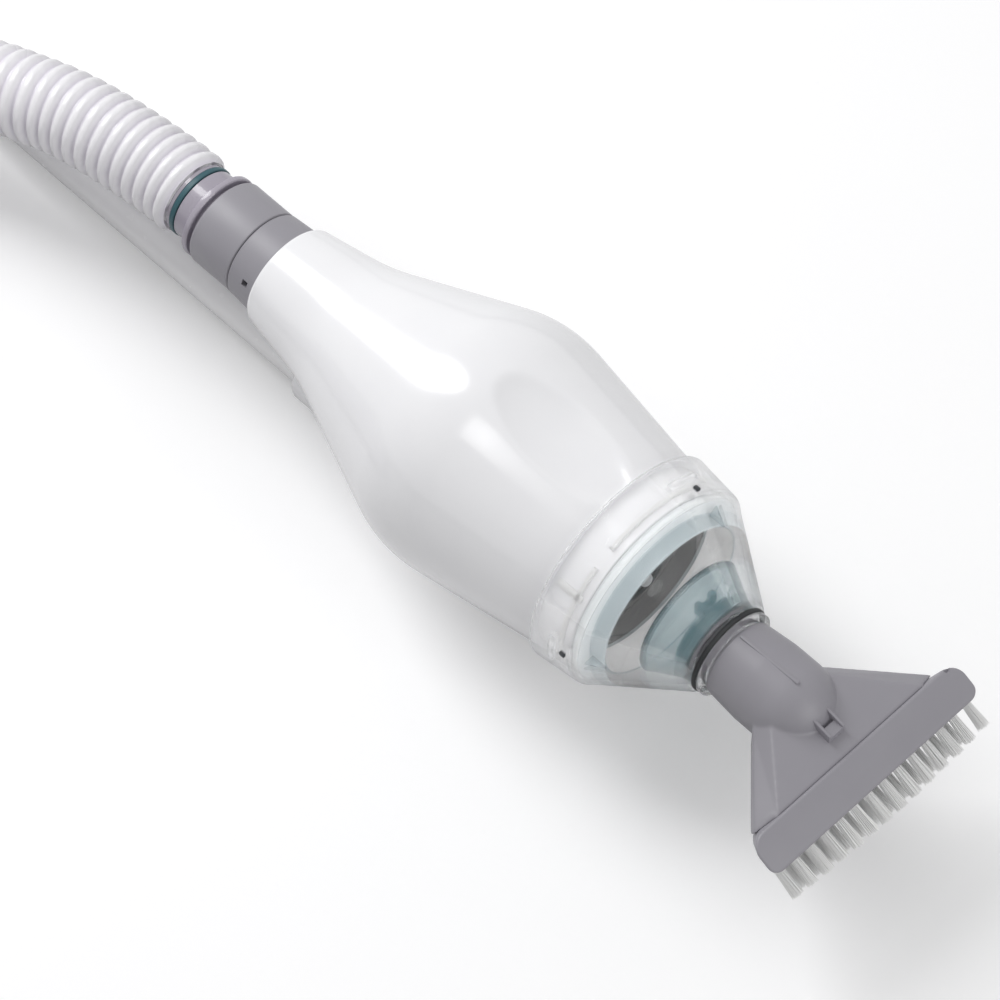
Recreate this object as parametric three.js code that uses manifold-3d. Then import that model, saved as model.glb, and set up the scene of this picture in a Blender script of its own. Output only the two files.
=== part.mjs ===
// A suction cleaner for small pools. A bottle body holds a filter bag behind a clear front housing with
// a brush nozzle; a swivel outlet carries the corrugated hose, and a two-section pole fits a socket
// under the body.
//
// Millimetres, +Z up. The cleaner lies on the floor with its axis level along +X, brush forward.
// The origin is on the floor, under the middle of everything but the hose.
// Places along the axis are measured from the rear rim of the body, and radii from the axis.

import * as THREE from 'three';
import { ConvexGeometry } from 'three/addons/geometries/ConvexGeometry.js';
import { mergeVertices } from 'three/addons/utils/BufferGeometryUtils.js';
import Module from 'manifold-3d';

const wasm = await Module();
wasm.setup();

// ---------------------------------------------------------------- driving sizes

// Clearances
const seatGap = 0.3;          // between pieces that rest on each other
const slideGap = 0.5;         // between pieces that slide or turn in each other

// Body: neck, flank and front taper are straight, eased into one another at the throat and the crown
const wall = 2.6;
const bodyLength = 235;       // rear rim to the shoulder that the clear housing meets
const rimRadius = 26.8;
const rimRound = 3;
const throatAt = 43.6;
const throatRadius = 36.6;
const throatEase = 13.5;
const crownAt = 137.4;
const crownRadius = 73.2;
const crownEase = 21;
const mouthRadius = 58;       // at the shoulder
const neckBore = 23;
const neckBoreDepth = 16;
const spigotRadius = 54.8;    // front spigot, inside the clear ring
const spigotLength = 22;
const trackHeight = 1.2;      // bayonet tracks raised on the spigot
const trackWidth = 2.4;
const trackCount = 3;
const trackFromEnd = 7;
const trackRibWidth = 4;      // ribs that run along the spigot
const dimpleAt = 197;         // thumb dimple on top
const dimpleHalfLength = 58;  // half axes of the ellipsoid that shapes it
const dimpleHalfWidth = 36;
const dimpleHalfHeight = 14;
const dimpleDepth = 5;

// Clear front housing: ring, cone and the sleeve that takes the nozzle
const ringRadius = 62;
const ringLength = 26.6;
const ringTaper = 3.2;        // how much narrower the ring is at its front edge
const ringWall = 3;
const coneLength = 46.1;
const coneEndRadius = 26.9;
const coneWall = 3.4;
const sleeveRadius = 24.6;
const sleeveBore = 19.9;
const sleeveLength = 6.6;     // in front of the cone
const sleeveDepth = 11.5;     // behind the end of the cone
const sleeveWall = 2;
const bandBedWall = 3;        // of the sleeve under the black ring in front of the cone
const lugAngle = 0.16;        // half the sweep of a bayonet lug inside the ring
const lugThickness = 3;       // of that lug, along the axis

// Filter: frame, gasket, bag, cage and pull stem
const gasketThickness = 1.2;
const flangeThickness = 2.8;
const flangeRadius = 55.2;
const openingRadius = 44.5;
const snoutRadius = 46;       // snout of the frame that stands into the clear front
const snoutLength = 9;
const frameSleeveLength = 17;
const frameSleeveWall = 3;
const bagWall = 1.3;
const bagLength = 178;
const bagTailRadius = 41;
const bagEndRound = 14;
const cageRib = 2.6;
const cageRibs = 6;
const hubThickness = 6;       // hub at the tail of the cage, which holds the pull stem
const hubRadius = 8;
const drainRadius = 7;        // holes round the hub
const stemRadius = 2;
const stemKnob = 3.6;
const stemEndInset = 5;       // knob behind the front face of the frame

// Inlet cup and its flap
const cupRadius = 33.6;
const cupLength = 21.5;
const cupWall = 1.8;
const cupCollar = 6;          // length of the collar round the clear sleeve
const flapThickness = 1.6;
const flapGap = 0.4;
const flapRadius = 21.7;
const pinRadius = 1;
const pinLength = 12;
const knuckleRadius = 2.1;
const knuckleLength = 5.4;

// Nozzle: neck, fan, and the pocket joint to the brush frame
const neckRadius = 21.4;
const neckFrontRadius = 23.2;
const neckLength = 35;
const domeLength = 25;        // rounded end of the neck, over the fan
const domeSteps = 5;
const fanOverlap = 5;         // of the fan's rear section into the neck
const nozzleWall = 2.2;
const spigotDepth = 17;       // of the nozzle in the clear sleeve
const keyHalfWidth = 1.1;     // raised key along the top of the neck
const keyHeight = 1;
const keyInset = 2;           // from the rear edge of the neck
const clipLength = 14;        // hook for the brush's cord, two ribs and a bar
const clipInset = 8;          // how far the ribs start behind the front of the dome
const clipHalfSpread = 4.6;
const clipRibWidth = 1.6;
const clipHeight = 5;
const clipBarLength = 6;
const clipBarHeight = 3.4;
const fanRearHalf = 24.4;
const fanRearTop = 11;
const fanRearBottom = -21;
const fanChamferWidth = 9;
const fanChamferHeight = 8;
const fanFrontHalf = 62;
const fanFrontThickness = 23;
const fanReach = 76;          // neck rear face to the upper edge of the fan mouth
const fanMouthHeight = 3.2;   // of that edge, over the axis
const brushTilt = THREE.MathUtils.degToRad(28);
const tongueLength = 8;
const tongueInset = 2.2;
const tongueWall = 1.8;

// Brush frame and bristles, in the tilted frame of the fan mouth
const frameHalfWidth = 72;
const frameThickness = 26;
const frameDepth = 20.8;
const frameOver = 1.8;        // how far the frame stands over the fan
const frameRearCorner = 9;
const frameFrontCorner = 6.5;
const undersideInset = 12;    // how much shorter the underside is at each end
const undersideCorner = 4;
const frameBevel = 1.4;
const slotHalfWidth = 56;
const notchFromEnd = 6;       // finger notch in the rear edge of the frame's top
const notchWidth = 4;
const notchDepth = 2.4;
const slotHeight = 6;
const upperTufts = 14;
const lowerTufts = 12;
const tuftPitch = 10;
const tuftLength = 17.5;
const tuftRootRadius = 2.3;
const tuftTipRadius = 3.2;
const rowInset = 5.5;         // upper row below the upper edge of the fan mouth
const rowSpacing = 14;
const stripThickness = 4.6;
const stripDepth = 6;

// Outlet collar, swivel collar and hose cuff
const collarLength = 18.2;
const collarRadius = 25.1;
const collarFrontRadius = 26.4;
const plugLength = 14;
const outletBore = 17;
const stubRadius = 20.2;
const stubLength = 24.2;
const beadHeight = 1.1;
const beadLength = 2;
const swivelLength = 28.6;
const swivelRadius = 24.9;
const swivelRound = 1.9;
const swivelWeb = 1.2;
const cuffRadius = 20.3;
const cuffBore = 16.4;
const cuffLength = 21.7;      // behind the swivel collar
const cuffSpigotRadius = 18.7;
const cuffSpigotLength = 3.1;
const lipRadius = 24.4;
const lipLength = 3.6;
const lipFromFront = 2.2;
const bandLength = 3;
const bandInset = 1;          // depth of the seal grooves
const bandProud = 0.6;
const snapHole = 4;
const snapHoleAngle = THREE.MathUtils.degToRad(66);

// Hose
const hoseRadius = 23.8;
const coilRadius = 240;       // to the middle of the bundle
const coilCentre = [-390, -335];
const coilLift = 1.9;         // room for the tie under the turns
const tieThickness = 1.2;
const tieWidth = 26;
const tieAngle = THREE.MathUtils.degToRad(200);
const endCuffLength = 92;
const endCuffRadius = 22.9;
const endCuffWall = 3.2;
const endCuffAngle = THREE.MathUtils.degToRad(311);
const hoseRoute = [
  [-69.4, 0, 0], [-78, 0, 0], [-92, -0.9, 0], [-112, -3, 0], [-134, -6, -0.5],
  [-156, -10, -2], [-178, -16, -4.5], [-200, -22, -8.5], [-222, -30, -14],
  [-244, -38, -20.5], [-266, -46, -28], [-288, -53, -35.5],
  [-310, -59, -42.5], [-332, -64, -48.5], [-354, -68, -52.8], [-372, -70, -55], [-390, -71, -56.3],
];

// Pole
const poleDrop = 63;          // pole axis below the cleaner's axis
const innerPoleRadius = 14;
const innerPoleLength = 670;
const outerPoleRadius = 16;
const outerPoleLength = 350;
const poleWall = 1.3;
const camClearance = 12;      // between the lock cam and the end cap, with the pole pushed together
const socketStart = 18;
const socketRadius = 19;
const socketDepth = 52;
const keelLength = 74;
const footHalfWidth = 9;
const footLength = 80;
const webHalfWidth = 5;
const buttonInset = 26;       // button behind the front end of the pole
const buttonRadius = 3.6;
const buttonProud = 1.2;
const buttonFlangeRadius = 5;
const buttonFlange = 1.4;
const buttonTravel = 4.5;
const springRadius = 3.2;
const springWire = 0.6;
const springTurns = 4;
const screwRadius = 2;
const screwHeadRadius = 4;
const screwHeadHeight = 2.6;
const screwRecess = 5;
const screwGrip = 5;          // thread inside the body's boss
const bossRadius = 4.6;
const bossCap = 2;
const screwInset = 16;        // first screw in front of the pole
const screwSpacing = 28;
const gripRadius = 19;
const gripLength = 124;
const lockRadius = 18.6;
const lockLength = 46;
const lockLip = 10;
const camLength = 24;
const camSpigot = 15;
const capLength = 9;
const capSpigot = 14;
const lugLength = 14;
const lugWidth = 6;
const loopLength = 40;
const loopHalfWidth = 12;
const loopRod = 2.4;          // half the thickness of the loop
const loopRound = 7;

// ---------------------------------------------------------------- materials

const finish = (color, roughness, extra = {}) =>
  new THREE.MeshStandardMaterial({ color, roughness, metalness: 0, flatShading: true, ...extra });
const seeThrough = (opacity) => ({ transparent: true, opacity });

const whiteShell = finish('#f1f1f2', 0.18);
const greyPlastic = finish('#929098', 0.45);
const clearPlastic = finish('#c9d8dc', 0.06, seeThrough(0.45));
const palePlastic = finish('#e4eaeb', 0.35);
const tealPlastic = finish('#5d8a93', 0.3, seeThrough(0.6));
const flapPlastic = finish('#24586b', 0.35);
const meshFabric = finish('#7c8284', 0.85);
const blackRubber = finish('#1b1d1f', 0.6);
const bristleFibre = finish('#ecebe8', 0.6);
const cuffPlastic = finish('#e3dfe8', 0.25, seeThrough(0.7));
const hosePlastic = finish('#e6e2ea', 0.35, seeThrough(0.7));
const paintedPole = finish('#eeedf0', 0.25);
const darkGrip = finish('#4a4c52', 0.7);
const steel = finish('#b9bcc0', 0.3, { metalness: 0.9 });

// ---------------------------------------------------------------- making solids

// A closed geometry as a solid: shared corners merged, collapsed triangles dropped, faces outward.
function solid(geometry) {
  const bare = geometry.clone();
  for (const name of ['normal', 'uv']) bare.deleteAttribute(name);
  const merged = mergeVertices(bare);
  const corners = merged.getAttribute('position').array;
  const index = merged.getIndex().array;
  const corner = (i) => new THREE.Vector3().fromArray(corners, i * 3);
  const faces = [];
  let volume = 0;
  for (let i = 0; i < index.length; i += 3) {
    const [a, b, c] = index.slice(i, i + 3);
    if (a === b || b === c || c === a) continue;
    faces.push([a, b, c]);
    volume += corner(a).dot(corner(b).cross(corner(c)));
  }
  const triVerts = new Uint32Array(faces.flatMap(([a, b, c]) => (volume < 0 ? [a, c, b] : [a, b, c])));
  const vertProperties = new Float32Array(corners);
  return new wasm.Manifold(new wasm.Mesh({ numProp: 3, vertProperties, triVerts }));
}

const join = (first, ...others) => others.reduce((sum, other) => sum.add(other), first);
const cut = (first, ...others) => others.reduce((rest, other) => rest.subtract(other), first);
const range = (count) => [...Array(count).keys()];

// Turned about the X axis, from [x, radius] points that start and end on the axis.
function revolve(outline, sides = 32) {
  const points = outline.map(([x, radius]) => new THREE.Vector2(radius, x));
  return solid(new THREE.LatheGeometry(points, sides).rotateZ(-Math.PI / 2));
}

// A ring turned about the X axis, from an outline that closes on itself.
const revolveRing = (outline, sides) => revolve([...outline, outline[0]], sides);

const tube = (from, to, inside, outside, sides = 32) =>
  revolveRing([[from, inside], [from, outside], [to, outside], [to, inside]], sides);

const plug = (from, to, radius, sides = 32) =>
  revolve([[from, 0], [from, radius], [to, radius], [to, 0]], sides);

const box = (low, high) => {
  const size = high.map((value, i) => value - low[i]);
  const middle = high.map((value, i) => (value + low[i]) / 2);
  return solid(new THREE.BoxGeometry(...size).translate(...middle));
};

// Upright and sideways rods, from end to end of their axis.
const rodZ = (radius, x, low, high, sides = 16) =>
  solid(new THREE.CylinderGeometry(radius, radius, high - low, sides)
    .rotateX(Math.PI / 2)
    .translate(x, 0, (low + high) / 2));

const rodY = (radius, low, high, x, z, sides = 16) =>
  solid(new THREE.CylinderGeometry(radius, radius, high - low, sides).translate(x, (low + high) / 2, z));

const hull = (points) => solid(new ConvexGeometry(points));

// Straight stretches between [x, radius, ease] corners, each corner rounded over its ease.
function eased(corners, steps = 5) {
  const ends = corners.map(([x, radius]) => new THREE.Vector2(x, radius));
  return corners.flatMap(([x, radius, ease = 0], i) => {
    if (!ease) return [[x, radius]];
    const towards = (end) => ends[i].clone().add(end.clone().sub(ends[i]).setLength(ease));
    const curve = new THREE.QuadraticBezierCurve(towards(ends[i - 1]), ends[i], towards(ends[i + 1]));
    return curve.getPoints(steps).map((point) => [point.x, point.y]);
  });
}

function part(name, body, material) {
  const { vertProperties, triVerts } = body.getMesh();
  const geometry = new THREE.BufferGeometry();
  geometry.setAttribute('position', new THREE.BufferAttribute(vertProperties, 3));
  geometry.setIndex(new THREE.BufferAttribute(triVerts, 1));
  geometry.computeVertexNormals();
  const mesh = new THREE.Mesh(geometry, material);
  mesh.name = name;
  return mesh;
}

// ---------------------------------------------------------------- shared places

const spigotEnd = bodyLength + spigotLength;
const ringStart = bodyLength + seatGap;
const ringEnd = ringStart + ringLength;
const ringEndRadius = ringRadius - ringTaper;
const coneEnd = ringEnd + coneLength;
const sleeveEnd = coneEnd + sleeveLength;
const sleeveStart = coneEnd - sleeveDepth;
const frameBack = spigotEnd + seatGap + gasketThickness + seatGap;
const frameFront = frameBack + flangeThickness;
const neckStart = sleeveEnd + seatGap;
const neckEnd = neckStart + neckLength;
const swivelStart = -collarLength - slideGap;
const swivelEnd = swivelStart - swivelLength;
const socketEnd = socketStart + socketDepth;
const poleFront = socketEnd - seatGap;
const innerPoleEnd = poleFront - innerPoleLength;
const poleOverlap = outerPoleLength - capSpigot - camClearance - camLength;
const outerPoleStart = innerPoleEnd + poleOverlap;
const outerPoleEnd = outerPoleStart - outerPoleLength;
const floorLevel = -poleDrop - socketRadius;
const buttonAt = poleFront - buttonInset;
const screwPlaces = [socketEnd + screwInset, socketEnd + screwInset + screwSpacing];

// The body's outside from behind the rim to the shoulder; grow pushes it outward.
const bodyOutline = (grow = 0) => eased([
  [rimRound, rimRadius + rimRound + grow],
  [throatAt, throatRadius + grow, throatEase],
  [crownAt, crownRadius + grow, crownEase],
  [bodyLength, mouthRadius + grow],
]);

const bodyRadiusAt = (x) => {
  const points = bodyOutline();
  const next = points.findIndex(([at]) => at >= x);
  const [[x0, r0], [x1, r1]] = [points[next - 1], points[next]];
  return r0 + ((r1 - r0) * (x - x0)) / (x1 - x0);
};

// ---------------------------------------------------------------- body

// The ellipsoid leans with the taper of the body, so that the dimple is equally deep along it.
const dimple = (grow) => {
  const radius = bodyRadiusAt(dimpleAt);
  const taper = Math.atan2(radius - bodyRadiusAt(dimpleAt + dimpleDepth), dimpleDepth);
  return solid(new THREE.SphereGeometry(1, 24, 16)
    .scale(dimpleHalfLength + grow, dimpleHalfWidth + grow, dimpleHalfHeight + grow)
    .rotateY(taper)
    .translate(dimpleAt, 0, radius + dimpleHalfHeight - dimpleDepth));
};

// Each bayonet track is a rib along the spigot and an arc ahead of it.
function bayonetTracks() {
  const top = spigotRadius + trackHeight;
  const arcStart = spigotEnd - trackFromEnd;
  const arcs = tube(arcStart, arcStart + trackWidth, spigotRadius - 1, top, 48);
  const ways = range(trackCount).map((i) => solid(new THREE.BoxGeometry(trackWidth * 3, top, 4 * trackWidth)
    .translate(arcStart, top, 0)
    .rotateX((2 * Math.PI * i) / trackCount)));
  const rib = () => new THREE.BoxGeometry(spigotLength - 2 * wall, trackRibWidth, trackWidth);
  const ribs = range(trackCount).map((i) => solid(rib()
    .translate(bodyLength + spigotLength / 2, top - trackRibWidth / 2, 0)
    .rotateX((2 * Math.PI * (i + 0.2)) / trackCount)));
  return join(cut(arcs, ...ways), ...ribs);
}

const screwTip = (x) => -bodyRadiusAt(x) + wall + screwGrip;
const screwHole = (x, grow) => rodZ(screwRadius + grow, x, floorLevel - 1, screwTip(x) + grow, 12);

// Blind boss on the inside of the body, buried halfway into the wall.
const screwBoss = (x) => rodZ(bossRadius, x, -bodyRadiusAt(x) + wall / 2, screwTip(x) + bossCap);

function bodyShell() {
  const outside = revolve([
    [0, 0],
    [0, rimRadius],
    [rimRound * 0.3, rimRadius + rimRound * 0.7],
    ...bodyOutline(),
    [bodyLength, spigotRadius],
    [spigotEnd, spigotRadius],
    [spigotEnd, 0],
  ], 48);
  const hollow = bodyOutline(-wall).filter(([x]) => x > neckBoreDepth + wall && x < bodyLength);
  const inside = revolve([
    [-1, 0],
    [-1, neckBore],
    [neckBoreDepth, neckBore],
    [neckBoreDepth + wall, bodyRadiusAt(neckBoreDepth) - wall],
    ...hollow,
    [bodyLength - 3 * wall, mouthRadius - wall],
    [bodyLength - wall, spigotRadius - wall],
    [spigotEnd + 1, spigotRadius - wall],
    [spigotEnd + 1, 0],
  ], 48);
  const shell = cut(join(outside, bayonetTracks()), dimple(0), cut(inside, dimple(wall)));
  const withBosses = join(shell, ...screwPlaces.map((x) => screwBoss(x).intersect(outside)));
  return cut(withBosses, ...screwPlaces.map((x) => screwHole(x, seatGap)));
}

// ---------------------------------------------------------------- outlet, swivel and cuff

// A groove for a seal, as outline points on a ring that runs towards -X.
const groove = (start, length, radius, depth) => [
  [start, radius],
  [start, radius - depth],
  [start - length, radius - depth],
  [start - length, radius],
];

const sealStart = swivelStart - swivelLength / 2;
const grooveLength = bandLength + 2 * seatGap;
const grooveDepth = bandInset + seatGap;

function outletCollar() {
  const stubEnd = -collarLength - stubLength;
  const ring = revolveRing([
    [plugLength, outletBore],
    [plugLength, neckBore - seatGap],
    [-seatGap, neckBore - seatGap],
    [-seatGap, collarFrontRadius],
    [-collarLength, collarRadius],
    [-collarLength, stubRadius],
    ...groove(sealStart, grooveLength, stubRadius, grooveDepth),
    [stubEnd + beadLength, stubRadius],
    [stubEnd + beadLength, stubRadius + beadHeight],
    [stubEnd + beadHeight, stubRadius + beadHeight],
    [stubEnd, stubRadius],
    [stubEnd, outletBore],
  ]);
  const hole = new THREE.BoxGeometry(snapHole, snapHole, snapHole)
    .translate(-collarLength / 3, 0, collarFrontRadius);
  return cut(ring, solid(hole.rotateX(snapHoleAngle)));
}

const bandAt = (start, radius, outer) =>
  tube(start - seatGap - bandLength, start - seatGap, radius - bandInset, outer);

function swivelCollar() {
  const bore = stubRadius + slideGap;
  const webFront = -collarLength - stubLength - slideGap;
  const webBack = webFront - swivelWeb;
  return revolveRing([
    [swivelStart, bore],
    [swivelStart, swivelRadius - slideGap],
    [swivelStart - slideGap, swivelRadius],
    [swivelEnd + swivelRound, swivelRadius],
    [swivelEnd + swivelRound * 0.3, swivelRadius - swivelRound * 0.3],
    [swivelEnd, swivelRadius - swivelRound],
    [swivelEnd, cuffSpigotRadius + seatGap],
    [webBack, cuffSpigotRadius + seatGap],
    [webBack, outletBore],
    [webFront, outletBore],
    [webFront, bore + beadHeight],
    [webFront + beadLength + 2 * slideGap, bore + beadHeight],
    [webFront + beadLength + 2 * slideGap, bore],
  ]);
}

const cuffStart = swivelEnd - seatGap;
const cuffEnd = swivelEnd - cuffLength;
const cuffGrooveStart = cuffEnd + 2 * bandLength;

function hoseCuff() {
  const lipStart = cuffStart - lipFromFront;
  const lipEnd = lipStart - lipLength;
  const soft = 0.7;           // rounding of the lip
  return revolveRing([
    [cuffStart + cuffSpigotLength, cuffBore],
    [cuffStart + cuffSpigotLength, cuffSpigotRadius],
    [cuffStart, cuffSpigotRadius],
    [cuffStart, cuffRadius],
    [lipStart, cuffRadius],
    [lipStart, lipRadius - soft],
    [lipStart - soft, lipRadius],
    [lipEnd + soft, lipRadius],
    [lipEnd, lipRadius - soft],
    [lipEnd, cuffRadius],
    ...groove(cuffGrooveStart, grooveLength, cuffRadius, grooveDepth),
    [cuffEnd, cuffRadius],
    [cuffEnd, cuffBore],
  ]);
}

// ---------------------------------------------------------------- filter

const frameSleeveStart = frameBack - frameSleeveLength;
const frameSleeveRadius = openingRadius + frameSleeveWall;
const bagMouth = frameBack - 2 * flangeThickness;
const bagEnd = bagMouth - bagLength;

function filterFrame() {
  const centring = spigotRadius - wall - seatGap;
  return revolveRing([
    [frameSleeveStart, openingRadius],
    [frameFront + snoutLength, openingRadius],
    [frameFront + snoutLength, snoutRadius],
    [frameFront, snoutRadius],
    [frameFront, flangeRadius - 0.8],
    [frameFront - 0.8, flangeRadius],
    [frameBack, flangeRadius],
    [frameBack, centring],
    [bagMouth + seatGap, centring],
    [bagMouth + seatGap, frameSleeveRadius],
    [frameSleeveStart, frameSleeveRadius],
  ]);
}

function filterGasket() {
  const start = spigotEnd + seatGap;
  return tube(start, start + gasketThickness, spigotRadius - wall + seatGap, spigotRadius - seatGap, 40);
}

// The bag is clipped over the frame's sleeve and narrows to a rounded tail.
const bagOutline = (grow) => {
  const mouth = frameSleeveRadius + seatGap + bagWall + grow;
  return eased([
    [bagMouth, mouth],
    [frameSleeveStart - 2 * bagWall, mouth],
    [bagEnd - grow, bagTailRadius + grow, bagEndRound],
    [bagEnd - grow, 0],
  ]);
};

function filterBag() {
  const inside = [[bagMouth, 0], ...bagOutline(-bagWall)];
  inside[0][0] += 1;
  inside[1][0] += 1;
  return cut(revolve([[bagMouth, 0], ...bagOutline(0)]), revolve(inside));
}

// Ribs between a hub plate and a front hoop, with a hoop halfway.

function filterCage() {
  const start = bagEnd + bagWall + seatGap;
  const end = frameSleeveStart - seatGap;
  const tail = bagTailRadius - bagWall - bagEndRound;
  const front = frameSleeveRadius - seatGap;
  const plate = plug(start, start + cageRib, tail, 36);
  const hub = plug(start, start + hubThickness, hubRadius, 24);
  const drain = () => new THREE.CylinderGeometry(drainRadius, drainRadius, 4 * cageRib, 12);
  const holes = range(cageRibs).map((i) => solid(drain()
    .rotateZ(Math.PI / 2)
    .translate(start, 0, (tail + hubRadius) / 2)
    .rotateX((2 * Math.PI * (i + 0.5)) / cageRibs)));
  const lean = Math.atan2(front - tail, end - start);
  const length = Math.hypot(end - start, front - tail);
  const ribs = range(cageRibs).map((i) => solid(new THREE.BoxGeometry(length - cageRib, cageRib, cageRib)
    .rotateY(-lean)
    .translate((start + end) / 2, 0, (front + tail) / 2 - cageRib)
    .rotateX((2 * Math.PI * i) / cageRibs)));
  const middle = (front + tail) / 2 - cageRib;
  const hoops = [
    tube(end - cageRib, end, front - 1.6 * cageRib, front),
    tube(
      (start + end - cageRib) / 2,
      (start + end + cageRib) / 2,
      middle - cageRib / 2,
      middle + cageRib / 2,
    ),
  ];
  const socket = plug(start + cageRib, start + hubThickness + 1, stemRadius + seatGap, 20);
  return cut(join(plate, hub, ...ribs, ...hoops), ...holes, socket);
}

function filterStem() {
  const start = bagEnd + bagWall + seatGap + cageRib + seatGap;
  const end = frameFront - stemEndInset;
  return revolve([
    [start, 0],
    [start, stemRadius],
    [end - stemKnob, stemRadius],
    [end - 0.75 * stemKnob, 0.85 * stemKnob],
    [end - 0.45 * stemKnob, stemKnob],
    [end - 0.15 * stemKnob, 0.75 * stemKnob],
    [end, 0],
  ], 20);
}

// ---------------------------------------------------------------- clear housing, cup and flap

const coneSlope = (ringEndRadius - coneEndRadius) / coneLength;
const coneInside = (x) => ringEndRadius - coneSlope * (x - ringEnd) - coneWall * Math.hypot(1, coneSlope);
const bandRadius = sleeveBore + bandBedWall;

function frontHousing() {
  const ringInsideEnd = ringEndRadius - ringWall;
  const seat = frameFront + seatGap;
  const bandEnd = coneEnd + seatGap + bandLength;
  const webStart = coneEnd - sleeveWall;
  const shell = revolveRing([
    [ringStart, ringRadius - ringWall],
    [ringStart, ringRadius - 0.6],
    [ringStart + 0.6, ringRadius],
    [ringEnd - 1, ringEndRadius + 0.4],
    [ringEnd, ringEndRadius - 0.4],
    [coneEnd, coneEndRadius],
    [coneEnd + seatGap, bandRadius],
    [bandEnd, bandRadius],
    [bandEnd, sleeveRadius],
    [sleeveEnd, sleeveRadius],
    [sleeveEnd, sleeveBore],
    [sleeveStart, sleeveBore],
    [sleeveStart, sleeveBore + sleeveWall],
    [webStart - sleeveWall, sleeveBore + sleeveWall],
    [webStart - sleeveWall, coneInside(webStart)],
    [seat, coneInside(seat)],
    [seat, flangeRadius + seatGap],
    [spigotEnd, ringInsideEnd + 0.5],
  ], 48);
  const trackTop = spigotRadius + trackHeight + seatGap;
  const lugEnd = spigotEnd - trackFromEnd - slideGap;
  const lugSpan = 2 * ringRadius * Math.sin(lugAngle);
  const lugWedge = (i) => solid(new THREE.BoxGeometry(lugThickness, ringRadius, lugSpan)
    .translate(lugEnd - lugThickness / 2, ringRadius / 2, 0)
    .rotateX((2 * Math.PI * (i + 0.5)) / trackCount));
  const lugRing = tube(lugEnd - lugThickness, lugEnd, trackTop, ringRadius - ringWall / 2, 48);
  const lugs = range(trackCount).map((i) => lugRing.intersect(lugWedge(i)));
  return join(shell, ...lugs);
}

const housingSeal = () =>
  tube(coneEnd + 2 * seatGap, coneEnd + bandLength, bandRadius + seatGap, sleeveRadius + seatGap);

const cupEnd = coneEnd - 2 * sleeveWall - seatGap;
const cupStart = cupEnd - cupLength;
const cupBore = sleeveBore + sleeveWall + seatGap;
const pinX = sleeveStart - flapGap - flapThickness - pinRadius - seatGap;
const pinZ = flapRadius;

// The cup's inside narrows to a collar that sits round the clear sleeve.
function inletCup() {
  const shell = revolveRing([
    [cupStart, cupRadius - cupWall],
    [cupStart, cupRadius],
    [cupStart + cupWall, cupRadius],
    [cupStart + cupWall, cupRadius - cupWall / 2],
    [cupEnd - cupCollar / 2, cupBore + cupWall],
    [cupEnd, cupBore + cupWall],
    [cupEnd, cupBore],
    [cupEnd - cupCollar, cupBore],
  ]);
  const earWidth = (pinLength - knuckleLength) / 2 - seatGap;
  const ear = (side) => {
    const inner = side * (knuckleLength / 2 + seatGap);
    const outer = side * (knuckleLength / 2 + seatGap + earWidth);
    const [low, high] = [Math.min(inner, outer), Math.max(inner, outer)];
    const post = box([pinX - 2, low, pinZ - 2], [pinX + 1.6, high, cupRadius - cupWall]);
    return post.intersect(plug(cupStart, cupEnd, cupBore + 3 * cupWall, 40));
  };
  const bore = rodY(pinRadius + seatGap, -cupRadius, cupRadius, pinX, pinZ, 12);
  const outside = plug(cupStart, cupEnd, cupRadius);
  return cut(join(shell, ear(-1), ear(1)).intersect(outside), bore.intersect(box(
    [cupStart, -pinLength / 2 - seatGap, 0],
    [cupEnd, pinLength / 2 + seatGap, cupRadius],
  )));
}

function inletFlap() {
  const face = sleeveStart - flapGap;
  const disc = plug(face - flapThickness, face, flapRadius, 36);
  const knuckle = rodY(knuckleRadius, -knuckleLength / 2, knuckleLength / 2, pinX, pinZ);
  const bore = rodY(pinRadius + seatGap, -knuckleLength, knuckleLength, pinX, pinZ, 12);
  const clearOfEars = [-1, 1].map((side) => {
    const near = side * (knuckleLength / 2);
    const far = side * pinLength;
    return box(
      [pinX - 3, Math.min(near, far), pinZ - 3 * pinRadius],
      [face + 1, Math.max(near, far), pinZ + 3 * pinRadius],
    );
  });
  return cut(join(disc, knuckle), bore, ...clearOfEars);
}

// ---------------------------------------------------------------- nozzle

// From the tilted frame of the fan mouth: x out of the mouth, y across, z square to its upper edge.
const mouthPlace = new THREE.Matrix4()
  .makeRotationY(brushTilt)
  .setPosition(neckStart + fanReach, 0, fanMouthHeight);

// Eight corners of a flat section with chamfered sides, at one place along x.
const section = (x, half, top, bottom, inset = 0) => {
  const [w, h] = [fanChamferWidth, fanChamferHeight];
  const corners = [
    [half - inset - w, top - inset],
    [half - inset, top - inset - h],
    [half - inset, bottom + inset + h],
    [half - inset - w, bottom + inset],
  ];
  return corners.flatMap(([y, z]) => [new THREE.Vector3(x, y, z), new THREE.Vector3(x, -y, z)]);
};

const mouthSection = (x, inset) => section(x, fanFrontHalf, 0, -fanFrontThickness, inset);
const atMouth = (points) => points.map((point) => point.applyMatrix4(mouthPlace));
const rearSection = (x, inset) => section(x, fanRearHalf, fanRearTop, fanRearBottom, inset);

// Outline of the neck's rounded end, from its full radius down to the axis.
const dome = (radius, length) => range(domeSteps + 1).map((i) => {
  const turn = (i / domeSteps) * (Math.PI / 2);
  return [neckEnd + length * Math.sin(turn), i === domeSteps ? 0 : radius * Math.cos(turn)];
});

const fanStart = neckEnd - fanOverlap;
const fanTopAt = (x) => fanRearTop
  + ((fanMouthHeight - fanRearTop) * (x - fanStart)) / (neckStart + fanReach - fanStart);

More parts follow.
